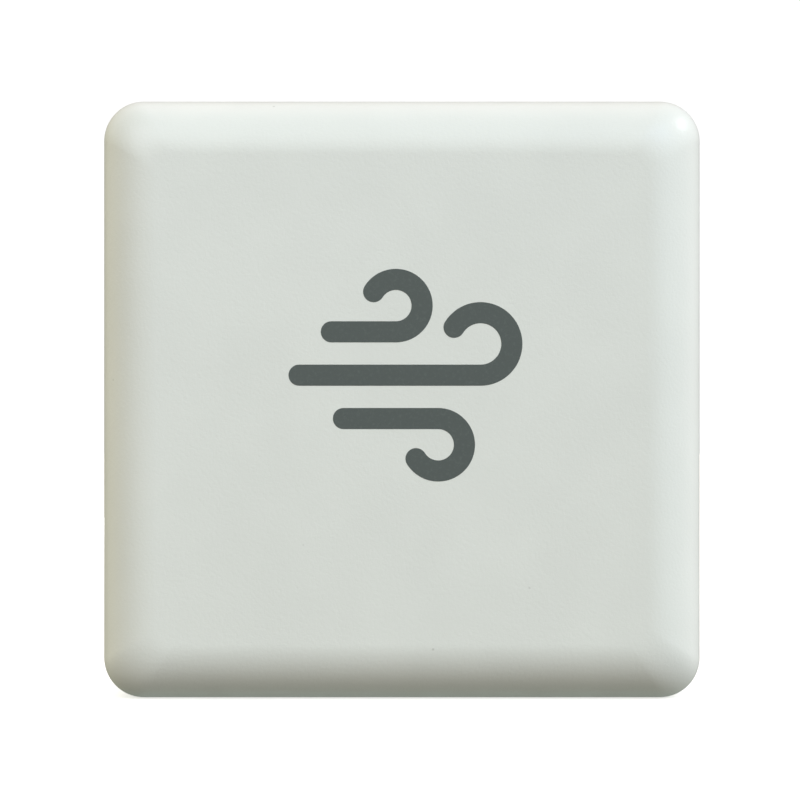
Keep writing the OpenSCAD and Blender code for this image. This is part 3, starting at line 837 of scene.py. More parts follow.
class MONITOR_OT_rear_cover(bpy.types.Operator):
    """Builds the rear cover with its screw tubes, posts, keyholes and inlet"""

    bl_idname = "monitor.rear_cover"
    bl_label = "Rear cover"

    def execute(self, context):
        case = context.scene.monitor_case
        cover = moulding("rear_cover_shell", "case_plastic", (add_skin, rear_rings(case)))
        added, inside, outside = bmesh.new(), bmesh.new(), bmesh.new()
        for x, z in boss_places():
            add_prism(added, circle_outline(x, z, BOSS_R), "Y", BOSS_END_Y + 0.05, INNER_BACK_Y + ROOT)
            add_prism(inside, circle_outline(x, z, TUBE_BORE_R, 32), "Y", BOSS_END_Y - PAST, BACK_Y - 3)
            add_prism(outside, circle_outline(x, z, HEAD_RECESS_R), "Y", BACK_Y - HEAD_RECESS_D,
                      BACK_Y + PAST)
        for x, z in post_places():
            add_prism(added, circle_outline(x, z, POST_R), "Y", BOARD_BACK_Y, INNER_BACK_Y + ROOT)
            add_prism(inside, circle_outline(x, z, POST_PILOT_R, 24), "Y", BOARD_BACK_Y - PAST,
                      BOARD_BACK_Y + POST_PILOT_L)
        reach = KEYHOLE_R + 0.3
        low_z, high_z = KEYHOLE_Z - KEYHOLE_R - 0.4, KEYHOLE_Z + KEYHOLE_RUN + KEYHOLE_R + 0.2
        for x in (-KEYHOLE_X, KEYHOLE_X):
            for solid, wall, end_y in ((added, POCKET_WALL, INNER_BACK_Y + ROOT),
                                       (inside, 0.0, INNER_BACK_Y)):
                add_prism(solid, box_outline(x - reach - wall, low_z - wall, x + reach + wall, high_z + wall),
                          "Y", INNER_BACK_Y - POCKET_D - wall, end_y)
            add_prism(outside, keyhole_outline(x, KEYHOLE_Z), "Y", INNER_BACK_Y - PAST, BACK_Y + PAST)
        for outline in (round_box_outline(0, LEAD_MID.y, INLET_W, INLET_H, INLET_R),
                        circle_outline(BUTTON_MID.x, BUTTON_MID.y, BUTTON_R + BUTTON_GAP),
                        circle_outline(LIGHT_MID.x, LIGHT_MID.y, LIGHT_R + LIGHT_GAP)):
            add_prism(inside, outline, "Z", -PAST, WALL + PAST)
        combine(cover, added, "UNION")
        combine(cover, inside, "DIFFERENCE")
        combine(cover, outside, "DIFFERENCE")
        break_edges(cover, case.break_edge)
        finish_piece(cover, "case", "case_plastic", "rear_cover")
        return {"FINISHED"}


def add_stroke(solid, path, thickness, low_y, high_y, cap_steps=8):
    """A flat stroke with round ends, of even thickness, along a path in X and Z."""
    half = thickness / 2
    ahead = [(path[min(i + 1, len(path) - 1)] - path[max(i - 1, 0)]).normalized() for i in range(len(path))]
    sections = [(point, along, half) for point, along in zip(path, ahead)]
    for i in range(1, cap_steps + 1):
        angle = math.pi / 2 * i / cap_steps
        step, width = half * math.sin(angle), max(half * math.cos(angle), 0.01)
        sections.insert(0, (path[0] - ahead[0] * step, ahead[0], width))
        sections.append((path[-1] + ahead[-1] * step, ahead[-1], width))
    rings = []
    for point, along, width in sections:
        across = Vector((-along.y, along.x)) * width
        corners = ((point + across, low_y), (point - across, low_y), (point - across, high_y),
                   (point + across, high_y))
        rings.append([(corner.x, y, corner.y) for corner, y in corners])
    add_skin(solid, rings)


def gust(start_x, end_x, z, curl_r, turn, up):
    """Path of a straight stroke that runs right and curls back over or under itself."""
    straight = [Vector((start_x + (end_x - start_x) * i / 12, z)) for i in range(12)]
    curl = arc_points(end_x, z + up * curl_r, curl_r, -90 * up, turn * up, 48)
    return straight + [Vector(point) for point in curl]


class MONITOR_OT_face_print(bpy.types.Operator):
    """Prints the generic airflow symbol on the face"""

    bl_idname = "monitor.face_print"
    bl_label = "Face print"

    def execute(self, context):
        symbol = context.scene.monitor_print
        x, z = symbol.shift, MID_Z + symbol.rise
        small_r = symbol.curl_r - 0.5
        ink = bmesh.new()
        # Each stroke: where it starts and where its curl starts, its row, its curl and which way it curls
        for start, end, row, curl_r, up in ((-8.2, -1.8, 1, small_r, 1), (-11.4, 6.6, 0, symbol.curl_r, 1),
                                            (-7.0, 2.4, -1, small_r, -1)):
            path = gust(x + start, x + end, z + row * symbol.pitch, curl_r, symbol.curl_turn, up)
            add_stroke(ink, path, symbol.stroke, FRONT_Y, FACE_Y + 0.01)
        made = as_object("face_print", ink, MATERIALS["face_ink"])
        mark_edges(made)
        finish_piece(made, "case", "face_ink")
        return {"FINISHED"}


def screw_seed(head_r, head_h, shank_r, length, pitch, toward, steps=24):
    """A pan-head screw along Y from the origin: head towards +Y or -Y, thread the other way."""
    edge, crown, cross = 0.35 * head_h, head_h * 0.12, 0.17 * head_r
    profile = [(0, -0.6), (shank_r * 0.9, -0.6), (shank_r * 0.9, 0.0), (head_r - 0.1, 0.0), (head_r, 0.1),
               (head_r, head_h - crown - edge)]
    profile += arc_points(head_r - edge, head_h - crown - edge, edge, 0, 90, 5)[1:]
    profile += [(head_r * 0.45, head_h - crown * 0.3), (0, head_h)]
    made = moulding("screw_seed", "screw_steel", (add_lathe, profile, (0, 0, 0), "Y", steps * 2))
    # The cross is cut one slot at a time, narrower at its floor
    floor_share, arm = 0.55, 0.62 * head_r
    for across in (False, True):
        rings = []
        for y, share in ((head_h * 0.3, floor_share), (head_h + 0.2, 1.0)):
            half_x, half_z = (cross, arm * share) if across else (arm * share, cross)
            rings.append([(u, y, v) for u, v in box_outline(-half_x, -half_z, half_x, half_z)])
        slot = bmesh.new()
        add_skin(slot, rings)
        combine(made, slot, "DIFFERENCE")

    # One skin that climbs round the shank: crest and root rows follow the helix
    rows_per_turn = 4
    rows = int(length / pitch * rows_per_turn)
    tip = 0.8
    thread = bmesh.new()
    grid = []
    for row in range(-rows_per_turn, rows + 1):
        line = []
        for i in range(steps):
            y = -(row / rows_per_turn + i / steps) * pitch
            on_crest = row % rows_per_turn in (1, 2)
            near_end = min(1.0, max(0.35, (length + y) / tip))
            radius = (shank_r if on_crest else shank_r * 0.78) * near_end
            if y > -0.5:
                y, radius = -0.3, shank_r * 0.78
            if y < -length:
                y, radius = -length, shank_r * 0.3
            angle = 2 * math.pi * i / steps
            line.append(thread.verts.new((radius * math.cos(angle), y, radius * math.sin(angle))))
        grid.append(line)
    for row in range(len(grid) - 1):
        for i in range(steps):
            if i < steps - 1:
                corners = (grid[row][i], grid[row][i + 1], grid[row + 1][i + 1], grid[row + 1][i])
            elif row + rows_per_turn + 1 < len(grid):
                corners = (grid[row][i], grid[row + rows_per_turn][0], grid[row + rows_per_turn + 1][0],
                           grid[row + 1][i])
            else:
                continue
            thread.faces.new(corners)
    bmesh.ops.remove_doubles(thread, verts=thread.verts, dist=0.002)
    bmesh.ops.dissolve_degenerate(thread, edges=thread.edges, dist=0.002)
    bmesh.ops.holes_fill(thread, edges=[e for e in thread.edges if e.is_boundary], sides=0)
    loose = [v for v in thread.verts if not v.link_faces]
    bmesh.ops.delete(thread, geom=loose, context="VERTS")
    bmesh.ops.recalc_face_normals(thread, faces=thread.faces)
    pour(made, thread)
    if toward < 0:
        bmesh.ops.rotate(thread, verts=thread.verts, cent=(0, 0, 0), matrix=Matrix.Rotation(math.pi, 3, "X"))
    return thread


class MONITOR_OT_screws(bpy.types.Operator):
    """Builds the four case screws and the four board screws"""

    bl_idname = "monitor.screws"
    bl_label = "Screws"

    def execute(self, context):
        for node, head_r, head_h, shank_r, pitch, toward, spread in (
                ("case_screws", 2.3, CASE_SCREW_HEAD_H, 1.0, 0.8, 1, (BOSS_PITCH, BOSS_PITCH)),
                ("board_screws", 1.9, BOARD_SCREW_HEAD_H, 0.8, 0.6, -1,
                 (2 * POST_X, POST_ZS[1] - POST_ZS[0]))):
            low, high = node_box(node)[:2]
            seat = high.y - head_h if toward > 0 else low.y + head_h
            seed = screw_seed(head_r, head_h, shank_r, high.y - low.y - head_h, pitch, toward)
            screws = repeat_in_grid(node + "_set", seed, MATERIALS["screw_steel"], (2, 2), spread,
                                    (0, seat, MID_Z), upright=True)
            mark_edges(screws, 28)
            finish_piece(screws, "case", "screw_steel", node)
        return {"FINISHED"}


def wavy_wire(length, radius, half_wave, swing, phase, sides=6):
    """A woven wire along X, centred, that rises and falls over its neighbours."""
    count = round(length / half_wave) * 2
    rings = []
    for i in range(count + 1):
        x = -length / 2 + length * i / count
        z = swing * math.sin(math.pi * x / half_wave + phase)
        rings.append([(x, u, v) for u, v in circle_outline(0, z, radius, sides)])
    wire = bmesh.new()
    add_skin(wire, rings)
    return wire


class MONITOR_OT_inlet_mesh(bpy.types.Operator):
    """Builds the woven dust mesh in its folded rim, and the foam gasket above it"""

    bl_idname = "monitor.inlet_mesh"
    bl_label = "Dust mesh and gasket"

    def execute(self, context):
        low, high, middle = node_box("dust_mesh")
        material = MATERIALS["mesh_steel"]
        rim, wire_r, pitch = 0.7, 0.065, 0.6
        wide, deep = high.x - low.x, high.y - low.y
        made = bmesh.new()
        # Half the wires each way start their wave upwards and the other half, between them, downwards
        for phase, shift in ((0.0, -pitch / 2), (math.pi, pitch / 2)):
            for length, spread, turn, step in (
                    (deep - rim, wide - rim, math.pi / 2, (shift, 0, 0)),
                    (wide - rim, deep - rim, 0.0, (0, shift, 0))):
                row = repeat_in_grid("wires", wavy_wire(length, wire_r, pitch, wire_r, phase), material,
                                     (1, int(spread / pitch / 2)), (1.0, 2 * pitch))
                row.data.transform(Matrix.Translation(middle + Vector(step)) @ Matrix.Rotation(turn, 4, "Z"))
                pour(row, made)
        border = moulding("border", "mesh_steel", (
            add_prism, round_box_outline(middle.x, middle.y, wide, deep, 0.4, 4), "Z", low.z, high.z))
        window = bmesh.new()
        add_prism(window, round_box_outline(middle.x, middle.y, wide - 2 * rim, deep - 2 * rim, 0.3, 4), "Z",
                  low.z - PAST, high.z + PAST)
        combine(border, window, "DIFFERENCE")
        break_edges(border, 0.06)
        pour(border, made)
        mesh = as_object("dust_mesh_weave", made, material)
        mark_edges(mesh, 45)
        finish_piece(mesh, "case", "mesh_steel", "dust_mesh")
        soften({"air_gasket": 0.25})
        return {"FINISHED"}


class MONITOR_OT_button(bpy.types.Operator):
    """Builds the reset button and the light guide"""

    bl_idname = "monitor.button"
    bl_label = "Button and light guide"

    def execute(self, context):
        low, high, edge, stem_r = BUTTON_LOW.z, BUTTON_HIGH.z, 0.25, 0.9
        flange_r, flange_low, flange_high = (BUTTON_HIGH.x - BUTTON_LOW.x) / 2, WALL + 0.1, WALL + 0.7
        dished = [(0, low + 0.12), (0.7, low + 0.09), (BUTTON_R - edge - 0.15, low)]
        dished += arc_points(BUTTON_R - edge, low + edge, edge, -90, 90, 6)
        dished += [(BUTTON_R, flange_low), (flange_r - 0.1, flange_low), (flange_r, flange_low + 0.1),
                   (flange_r, flange_high - 0.1), (flange_r - 0.1, flange_high), (stem_r, flange_high),
                   (stem_r, high - 0.1), (stem_r - 0.1, high), (0, high)]
        low, high, dome, head_r = LIGHT_LOW.z, LIGHT_HIGH.z, 0.3, (LIGHT_HIGH.x - LIGHT_LOW.x) / 2
        domed = [(LIGHT_R * u, low + dome * (1 + v)) for u, v in arc_points(0, 0, 1.0, -90, 90, 6)[1:]]
        domed = [(0, low)] + domed
        domed += [(LIGHT_R, WALL), (head_r, WALL), (head_r, high - 0.15), (head_r - 0.15, high), (0, high)]
        for name, slot, profile, middle, body, node in (
                ("button_cap", "button_plastic", dished, BUTTON_MID, "button", "reset_button"),
                ("light_rod", "clear_plastic", domed, LIGHT_MID, "case", "light_pipe")):
            made = moulding(name, slot, (add_lathe, profile, (middle.x, middle.y, 0), "Z", 64))
            mark_edges(made, 50)
            finish_piece(made, body, slot, node)
        return {"FINISHED"}


def socket_outline(inset):
    """Outline of the lead socket in X and Y: two corners round, two cut off."""
    half = (LEAD_HIGH.x - LEAD_LOW.x) / 2 - inset
    low_y, high_y = LEAD_LOW.y + inset, LEAD_HIGH.y - inset
    cut = 1.0 - inset * 0.4
    outline = arc_points(half - 0.4, low_y + 0.4, 0.4, -90, 90, 6)
    outline += [(half, high_y - cut), (half - cut, high_y), (cut - half, high_y), (-half, high_y - cut)]
    return outline + arc_points(0.4 - half, low_y + 0.4, 0.4, 180, 90, 6)


class MONITOR_OT_usb_socket(bpy.types.Operator):
    """Builds the lead socket with its folded shell, tongue and contacts"""

    bl_idname = "monitor.usb_socket"
    bl_label = "Lead socket"

    def execute(self, context):
        sheet_t, back_t, tongue_x, tongue_t = 0.3, 0.6, 1.9, 0.6
        low, high, y = LEAD_LOW.z, LEAD_HIGH.z, LEAD_MID.y
        shell = moulding("usb_shell", "plated_steel", (add_prism, socket_outline(0), "Z", low, high))
        cut = bmesh.new()
        add_prism(cut, socket_outline(sheet_t), "Z", low - PAST, high - back_t)
        combine(shell, cut, "DIFFERENCE")
        break_edges(shell, 0.09)
        finish_piece(shell, "case", "plated_steel", "usb_socket")
        made = moulding(
            "usb_tongue", "black_plastic",
            (add_prism, box_outline(-tongue_x, y - tongue_t / 2, tongue_x, y + tongue_t / 2), "Z",
             low + 0.8, high - back_t + 0.05),
            (add_prism, socket_outline(sheet_t + 0.02), "Z", high - 1.4, high - back_t - 0.02))
        break_edges(made, 0.1)
        finish_piece(made, "case", "black_plastic")
        strip = bmesh.new()
        add_prism(strip, box_outline(-0.18, y - 0.36, 0.18, y - 0.28), "Z", low + 1.1, high - 1.3)
        strips = repeat_in_grid("usb_contacts", strip, MATERIALS["brass_can"], (5, 1), (0.65, 1.0))
        mark_edges(strips)
        finish_piece(strips, "case", "brass_can")
        return {"FINISHED"}


class MONITOR_OT_boards(bpy.types.Operator):
    """Builds the main board, the radio board and its shield"""

    bl_idname = "monitor.boards"
    bl_label = "Boards"

    def execute(self, context):
        soften({"main_board": 0.12, "sensor_board": 0.08, "radio_board": 0.06})
        low, high, middle = node_box("radio_shield")
        dimples, dimple_x, dimple_z, dimple_r = bmesh.new(), 6.2, 6.8, 0.45
        for side_x in (-1, 1):
            for side_z in (-1, 1):
                add_prism(dimples, circle_outline(middle.x + side_x * dimple_x, middle.z + side_z * dimple_z,
                                                  dimple_r, 20), "Y", high.y - 0.08, high.y + PAST)
        finish_piece(softened("radio_shield", 0.08, 2, dimples), "case", "plated_steel", "radio_shield")

        # Plated edge contacts down both sides of the radio board
        low, high, middle = node_box("radio_board")
        seed, pad_l, pad_w = bmesh.new(), 1.0, 0.7
        add_prism(seed, box_outline(-pad_l / 2, -pad_w / 2, pad_l / 2, pad_w / 2), "Y",
                  low.y + 0.02, high.y + 0.03)
        pads = repeat_in_grid("radio_pads", seed, MATERIALS["brass_can"], (2, 11),
                              (high.x - low.x - pad_l, 1.6), (middle.x, 0, low.z + 10.0), upright=True)
        mark_edges(pads)
        finish_piece(pads, "case", "brass_can")
        return {"FINISHED"}


class MONITOR_OT_board_parts(bpy.types.Operator):
    """Builds the small parts soldered to the main board"""

    bl_idname = "monitor.board_parts"
    bl_label = "Board parts"

    def execute(self, context):
        soften({"regulator": 0.12, "inductor": 0.3, "status_led": 0.15, "switch_body": 0.2,
                "switch_plunger": 0.15})
        low, high, middle = node_box("capacitors")
        base_t, base_x, base_cut, can_r, neck_r = 1.0, 2.65, 0.9, 2.5, 2.32
        top = high.y - low.y
        # Can with a rolled neck above its foot and a small round at its top
        profile = [(0, base_t - 0.05), (2.2, base_t - 0.05), (2.4, base_t + 0.1), (can_r, base_t + 0.4),
                   (can_r, base_t + 0.8), (neck_r, base_t + 1.0), (neck_r, base_t + 1.15),
                   (can_r, base_t + 1.35), (can_r, top - 0.3), (can_r - 0.09, top - 0.09),
                   (can_r - 0.3, top), (0, top)]
        can = moulding("can_seed", "can_aluminium", (add_lathe, profile, (0, 0, 0), "Y", 40))
        for outline in (box_outline(-1.7, -0.1, 1.7, 0.1), box_outline(-0.1, -1.7, 0.1, 1.7)):
            vent = bmesh.new()
            add_prism(vent, outline, "Y", top - 0.12, top + PAST)
            combine(can, vent, "DIFFERENCE")
        cans, bases = bmesh.new(), bmesh.new()
        pour(can, cans)
        chamfer = base_x - base_cut
        add_prism(bases, [(-base_x, -base_x), (base_x, -base_x), (base_x, chamfer), (chamfer, base_x),
                          (-chamfer, base_x), (-base_x, chamfer)], "Y", 0, base_t)
        pitch = high.x - low.x - 2 * base_x
        for name, seed, slot, finish, nodes in (
                ("capacitor_cans", cans, "can_aluminium", mark_edges, ("capacitors",)),
                ("capacitor_bases", bases, "black_plastic", partial(break_edges, width=0.1), ())):
            pair = repeat_in_grid(name, seed, MATERIALS[slot], (2, 1), (pitch, 1.0),
                                  (middle.x, low.y, middle.z))
            finish(pair)
            finish_piece(pair, "case", slot, *nodes)

        # Chips: a ceramic body a little thinner than its two plated ends
        low, high, middle = node_box("chip_parts")
        body_x, end_x, half_z, step = 0.52, 0.8, 0.4, 0.03
        for name, slot, spans, thin, nodes in (
                ("chip_bodies", "chip_ceramic", ((-body_x, body_x),), step, ("chip_parts",)),
                ("chip_ends", "plated_steel", ((-end_x, -0.5), (0.5, end_x)), 0.0, ())):
            seed = bmesh.new()
            for start, end in spans:
                add_prism(seed, box_outline(start, thin - half_z, end, half_z - thin), "Y",
                          low.y, high.y - thin)
            chips = repeat_in_grid(name, seed, MATERIALS[slot], (4, 2), (3.0, 2.4),
                                   (middle.x, 0, middle.z), upright=True)
            break_edges(chips, 0.05, 1)
            finish_piece(chips, "case", slot, *nodes)
        return {"FINISHED"}


def add_tube(solid, path, radius, sides=12):
    """A round closed tube along a path that stays near one plane of constant X."""
    side = Vector((1, 0, 0))
    rings = []
    for i, point in enumerate(path):
        along = (path[min(i + 1, len(path) - 1)] - path[max(i - 1, 0)]).normalized()
        up = side.cross(along).normalized()
        rings.append([point + u * side + v * up for u, v in circle_outline(0, 0, radius, sides)])
    add_skin(solid, rings)


class MONITOR_OT_inner_lead(bpy.types.Operator):
    """Builds the short eight-wire lead with its plugs and sockets"""

    bl_idname = "monitor.inner_lead"
    bl_label = "Inner lead"

    def execute(self, context):
        soften({"board_socket": 0.2, "board_plug": 0.2, "sensor_plug": 0.2, "sensor_socket": 0.2})
        low, high = node_box("sensor_wires")[:2]
        radius, bend_r, count = 0.35, 1.2, 8
        pitch = (high.x - low.x - 2 * radius) / (count - 1)
        rise_y, run_z = low.y + radius, high.z - radius
        bend_z = run_z - bend_r
        wires = bmesh.new()
        bows = random.Random(7)
        for i in range(count):
            x = low.x + radius + i * pitch
            bow, lean = bows.uniform(-0.12, 0.12), bows.uniform(-0.1, 0.1)
            path = []
            for k in range(13):
                share = k / 12
                swell = math.sin(math.pi * share)
                path.append(Vector((x + bow * swell, rise_y + lean * swell,
                                    low.z + (bend_z - low.z) * share)))
            bend = arc_points(rise_y + bend_r, bend_z, bend_r, 180, -90, 10)[1:]
            path += [Vector((x, y, z)) for y, z in bend]
            path += [Vector((x, rise_y + bend_r + (high.y - rise_y - bend_r) * k / 3, run_z))
                     for k in range(1, 4)]
            add_tube(wires, path, radius)
        made = as_object("lead_wires", wires, MATERIALS["wire_sleeve"])
        mark_edges(made, 60)
        finish_piece(made, "case", "wire_sleeve", "sensor_wires")
        return {"FINISHED"}


class MONITOR_OT_sensor(bpy.types.Operator):
    """Builds the particle sensor's steel case and optics"""

    bl_idname = "monitor.sensor"
    bl_label = "Particle sensor"

    def execute(self, context):
        soften({"sensor_base": 0.3, "sensor_lid": 0.3, "sensor_tape": 0.15, "laser_block": 0.25,
                "laser_diode": 0.1, "photodiode": 0.12})
        return {"FINISHED"}


def stator_profile(low_y, high_y):
    """Loop of the stator's section: bore, a stack of ridged turns, and a neck at the back."""
    bore_r, coil_r, neck_r, turns = 1.59, 3.2, 2.2, 9
    flange_y = high_y - 0.9
    pitch = (flange_y - low_y) / turns
    profile = [(bore_r, high_y), (bore_r, low_y), (coil_r - 0.25, low_y)]
    for i in range(turns):
        start = low_y + i * pitch
        profile += [(coil_r - 0.22, start + 0.02), (coil_r - 0.06, start + pitch * 0.2),
                    (coil_r, start + pitch * 0.5), (coil_r - 0.06, start + pitch * 0.8)]
    return profile + [(coil_r - 0.25, flange_y), (neck_r, flange_y), (neck_r, high_y), (bore_r, high_y)]


def blade_outline(hub_r, rotor_r, thickness=0.6, sweep=32.0, stations=12):
    """Outline of one swept blade, from inside the hub's wall to the rotor's rim, thinner at its tip."""
    root_r, tip_r = hub_r - 0.35, rotor_r - 0.02
    spine = []
    for i in range(stations + 1):
        share = i / stations
        radius, angle = root_r + (tip_r - root_r) * share, -math.radians(sweep) * share ** 1.5
        spine.append(Vector((radius * math.cos(angle), radius * math.sin(angle))))
    upper, lower = [], []
    for i, point in enumerate(spine):
        along = (spine[min(i + 1, stations)] - spine[max(i - 1, 0)]).normalized()
        across = Vector((-along.y, along.x)) * thickness / 2 * (1 - 0.35 * i / stations)
        upper.append(point + across)
        lower.append(point - across)
    return upper + lower[::-1]


class MONITOR_OT_fan(bpy.types.Operator):
    """Builds the fan with its curved blades, hub, coils and bearing"""

    bl_idname = "monitor.fan"
    bl_label = "Fan"

    def execute(self, context):
        soften({"fan_housing": 0.25, "fan_bearing": 0.08, "fan_shaft": 0.1})
        low, high, middle = node_box("fan_stator")
        coil = moulding("fan_coil", "coil_copper",
                        (add_lathe, stator_profile(low.y, high.y), (middle.x, 0, middle.z), "Y"))
        mark_edges(coil, 50)
        finish_piece(coil, "case", "coil_copper", "fan_stator")

        # Rotor: domed hub, back plate and swept blades in one moulding, made on its axis
        low, high, middle = node_box("fan_rotor")
        rotor_r = (high.x - low.x) / 2
        hub_r, hub_wall, shaft_r, round_r = 4.4, 0.8, 0.75, 0.7
        profile = [(shaft_r, low.y + 0.05), (hub_r - round_r, low.y)]
        profile += arc_points(hub_r - round_r, low.y + round_r, round_r, -90, 90, 6)[1:]
        profile += [(hub_r, high.y), (hub_r - hub_wall, high.y), (hub_r - hub_wall, low.y + hub_wall),
                    (shaft_r, low.y + hub_wall), (shaft_r, low.y + 0.05)]
        rotor = moulding("rotor_moulding", "black_plastic", (add_lathe, profile, (0, 0, 0), "Y", 64))
        plate_r, root_r, plate_low, plate_high = rotor_r - 0.6, hub_r - 0.3, high.y - 0.9, high.y - 0.4
        plate = bmesh.new()
        add_lathe(plate, [(root_r, plate_low), (plate_r - 0.1, plate_low), (plate_r, plate_low + 0.1),
                          (plate_r, plate_high - 0.1), (plate_r - 0.1, plate_high), (root_r, plate_high),
                          (root_r, plate_low)], (0, 0, 0), "Y", 64)
        combine(rotor, plate, "UNION")
        seed, blades, blade_count = bmesh.new(), bmesh.new(), 11
        add_prism(seed, blade_outline(hub_r, rotor_r), "Y", low.y + 0.8, plate_high - 0.02)
        pour(repeat_round_y("blades", seed, MATERIALS["black_plastic"], blade_count), blades)
        combine(rotor, blades, "UNION")
        break_edges(rotor, 0.08)
        # The blades' tips stay within the rotor's radius
        limit = rotor_r - 0.001
        for vertex in rotor.data.vertices:
            reach = math.hypot(vertex.co.x, vertex.co.z)
            if reach > limit:
                vertex.co.x *= limit / reach
                vertex.co.z *= limit / reach
        rotor.data.transform(Matrix.Translation((middle.x, 0, middle.z)))
        finish_piece(rotor, "fan", "black_plastic", "fan_rotor")
        return {"FINISHED"}


# ---------------------------------------------------------------- stage

# Soft lights far round the object: azimuth and elevation in degrees, sRGB tint, strength.
# Azimuth 0 is straight in front and 90 is to the right.
SOFT_LIGHTS = (
    ("right of the camera", 45, 20, "FAFFFB", 1.86),
    ("right wall", 90, 10, "FFFBF6", 1.15),
    ("right, just behind", 120, 10, "FFFBF7", 1.14),
    ("low backdrop", 180, -50, "EDFFF3", 0.8),
    ("left, behind", 240, 10, "FFFADC", 0.92),
    ("warm left wall", 270, 10, "FFD73C", 0.22),
    ("left of the camera", 330, 30, "FFFCEF", 1.95),
    ("high backdrop", 180, 60, "FFF0EA", 1.38),
    ("warm table below", 0, -40, "FFB649", 0.15),
)
# Power of the cosine that each soft light falls off by
LOBE_TIGHTNESS = 6.0
# Lamps near the object: azimuth, elevation, distance and diameter in metres, sRGB tint, watts, and
# whether the lamp lights matt surfaces and whether it shows as a glint
LAMPS = (
    ("left soft box", 325, 35, 0.45, 0.2, "DEE7FF", 0.22, True, True),
    ("right soft box", 35, 40, 0.45, 0.2, "9CC2FF", 0.24, True, True),
    ("corner glint", 94, 41, 0.5, 0.04, "FFFFFF", 0.45, False, True),
    ("back soft box", 195, 5, 0.5, 0.3, "F6F8FF", 0.5, True, False),
)


def lamp_direction(azimuth, elevation):
    """Unit vector from the object to a light."""
    a, e = math.radians(azimuth), math.radians(elevation)
    return Vector((math.sin(a) * math.cos(e), -math.cos(a) * math.cos(e), math.sin(e)))


def light_tent():
    """World light: a white backdrop to the camera, and a ring of soft lights to the object."""
    world = bpy.data.worlds.new("Light tent")
    bpy.context.scene.world = world
    world.use_nodes = True
    tree = world.node_tree
    tree.nodes.clear()
    direction = add_node(tree, "ShaderNodeTexCoord").outputs["Generated"]
    total = None
    for name, azimuth, elevation, tint, strength in SOFT_LIGHTS:
        facing = add_node(tree, "ShaderNodeVectorMath", (direction, lamp_direction(azimuth, elevation)),
                          operation="DOT_PRODUCT", label=name)
        lit = add_node(tree, "ShaderNodeMath", (facing, 0.0), operation="MAXIMUM")
        spread = add_node(tree, "ShaderNodeMath", (lit, LOBE_TIGHTNESS), operation="POWER")
        tinted = [channel * strength for channel in colour(tint)[:3]]
        glow = add_node(tree, "ShaderNodeVectorMath", {0: tinted, "Scale": spread}, operation="SCALE")
        total = add_node(tree, "ShaderNodeVectorMath", (total, glow), operation="ADD") if total else glow
    lights = add_node(tree, "ShaderNodeBackground", {"Color": total})
    backdrop = add_node(tree, "ShaderNodeBackground", {"Color": (1, 1, 1, 1), "Strength": 1.05})
    seen = add_node(tree, "ShaderNodeLightPath").outputs["Is Camera Ray"]
    either = add_node(tree, "ShaderNodeMixShader", (seen, lights, backdrop))
    add_node(tree, "ShaderNodeOutputWorld", {"Surface": either})


def near_lamps():
    """Round soft boxes close enough to shade the face a little from side to side."""
    middle = Vector((0, 0, MID_Z)) * MM
    for name, azimuth, elevation, distance, size, tint, watts, lights_matt, glints in LAMPS:
        data = bpy.data.lights.new(name, "AREA")
        data.shape = "DISK"
        data.size = size
        data.color = colour(tint)[:3]
        data.energy = watts
        lamp = bpy.data.objects.new(name, data)
        bpy.context.scene.collection.objects.link(lamp)
        lamp.visible_diffuse = lights_matt
        lamp.visible_glossy = glints
        lamp.location = middle + lamp_direction(azimuth, elevation) * distance
        lamp.rotation_euler = (middle - lamp.location).to_track_quat("-Z", "Y").to_euler()


def pale_floor():
    """A plain floor that reads as white to the camera and throws no colour on the object."""
    solid = bmesh.new()
    # A hair below the case, so that the two don't share a plane
    bmesh.ops.create_grid(solid, x_segments=1, y_segments=1, size=1.5,
                          matrix=Matrix.Translation((0, 0, -0.02 * MM)))
    material, tree, principled, place = new_material("Pale painted floor", {
        "Roughness": 0.9, "Emission Color": (1, 1, 1, 1), "Emission Strength": 0.55})
    tone = clouds(tree, place, 60.0, 0.3, 0.7)
    shade = add_node(tree, "ShaderNodeMix", {0: tone, 6: colour("F4F4F3"), 7: colour("F8F8F7")},
                     data_type="RGBA")
    join(tree, principled, {"Base Color": shade})
    floor = as_object("floor", solid, material)
    floor.visible_diffuse = False
    floor.visible_glossy = False


def front_camera(widest_y):
    """A camera square on to the front: the case fills a set share of the frame's width at its widest."""
    lens, sensor, width_share = 150.0, 36.0, 0.743
    data = bpy.data.cameras.new("camera")
    data.lens, data.sensor_width = lens, sensor
    data.shift_x, data.shift_y = -0.0024, -0.0014
    data.clip_start, data.clip_end = 0.01, 10
    camera = bpy.data.objects.new("camera", data)
    bpy.context.scene.collection.objects.link(camera)
    distance = 2 * HALF_W / width_share * lens / sensor
    camera.location = Vector((0.0, widest_y - distance, MID_Z)) * MM
    camera.rotation_euler = (math.pi / 2, 0.0, 0.0)
    bpy.context.scene.camera = camera


class MONITOR_OT_stage(bpy.types.Operator):
    """Sets the floor, the lights and the camera"""

    bl_idname = "monitor.stage"
    bl_label = "Stage"

    def execute(self, context):
        context.scene.view_settings.view_transform = "Standard"
        light_tent()
        near_lamps()
        pale_floor()
        front_camera(FRONT_Y + context.scene.monitor_case.edge_r)
        return {"FINISHED"}


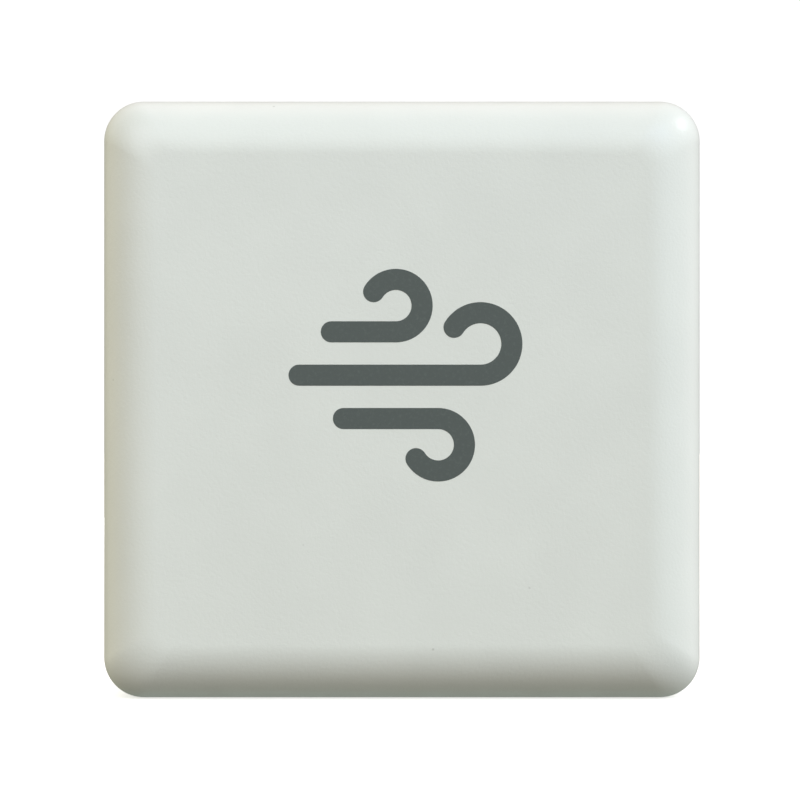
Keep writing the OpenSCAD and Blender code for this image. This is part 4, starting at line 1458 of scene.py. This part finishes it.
class MONITOR_OT_finish_frame(bpy.types.Operator):
    """Gives every carried-over part its finish"""

    bl_idname = "monitor.finishes"
    bl_label = "Finishes"

    def execute(self, context):
        for node, made in frame["nodes"].items():
            made.data.materials.clear()
            made.data.materials.append(MATERIALS[slot_of(node)])
        return {"FINISHED"}


class MONITOR_PT_panel(bpy.types.Panel):
    """Lists the monitor's sizes, colours and pieces"""

    bl_label = "Air Monitor"
    bl_idname = "MONITOR_PT_panel"
    bl_space_type = "VIEW_3D"
    bl_region_type = "UI"
    bl_category = "Air Monitor"

    def draw(self, context):
        for group in (context.scene.monitor_case, context.scene.monitor_print, context.scene.monitor_finish):
            for name in group.bl_rna.properties.keys():
                if name not in ("rna_type", "name"):
                    self.layout.prop(group, name)
        for operator in OPERATORS:
            self.layout.operator(operator.bl_idname)


SETTINGS = (
    ("monitor_case", CaseSettings),
    ("monitor_print", PrintSettings),
    ("monitor_finish", FinishSettings),
)
OPERATORS = (
    MONITOR_OT_finish_frame,
    MONITOR_OT_front_cover,
    MONITOR_OT_rear_cover,
    MONITOR_OT_face_print,
    MONITOR_OT_screws,
    MONITOR_OT_inlet_mesh,
    MONITOR_OT_button,
    MONITOR_OT_usb_socket,
    MONITOR_OT_boards,
    MONITOR_OT_board_parts,
    MONITOR_OT_inner_lead,
    MONITOR_OT_sensor,
    MONITOR_OT_fan,
    MONITOR_OT_stage,
)
MATERIALS = {}


def register():
    """Registers the settings, the operators and the panel."""
    for name, group in SETTINGS:
        bpy.utils.register_class(group)
        setattr(bpy.types.Scene, name, PointerProperty(type=group))
    for operator in OPERATORS:
        bpy.utils.register_class(operator)
    bpy.utils.register_class(MONITOR_PT_panel)


def unregister():
    """Removes everything that register added."""
    bpy.utils.unregister_class(MONITOR_PT_panel)
    for operator in reversed(OPERATORS):
        bpy.utils.unregister_class(operator)
    for name, group in reversed(SETTINGS):
        delattr(bpy.types.Scene, name)
        bpy.utils.unregister_class(group)


def main():
    """Builds every piece and the stage in order."""
    register()
    MATERIALS.update(make_materials(bpy.context.scene.monitor_finish))
    for operator in OPERATORS:
        space, name = operator.bl_idname.split(".")
        getattr(getattr(bpy.ops, space), name)()


if __name__ == "__main__":
    main()
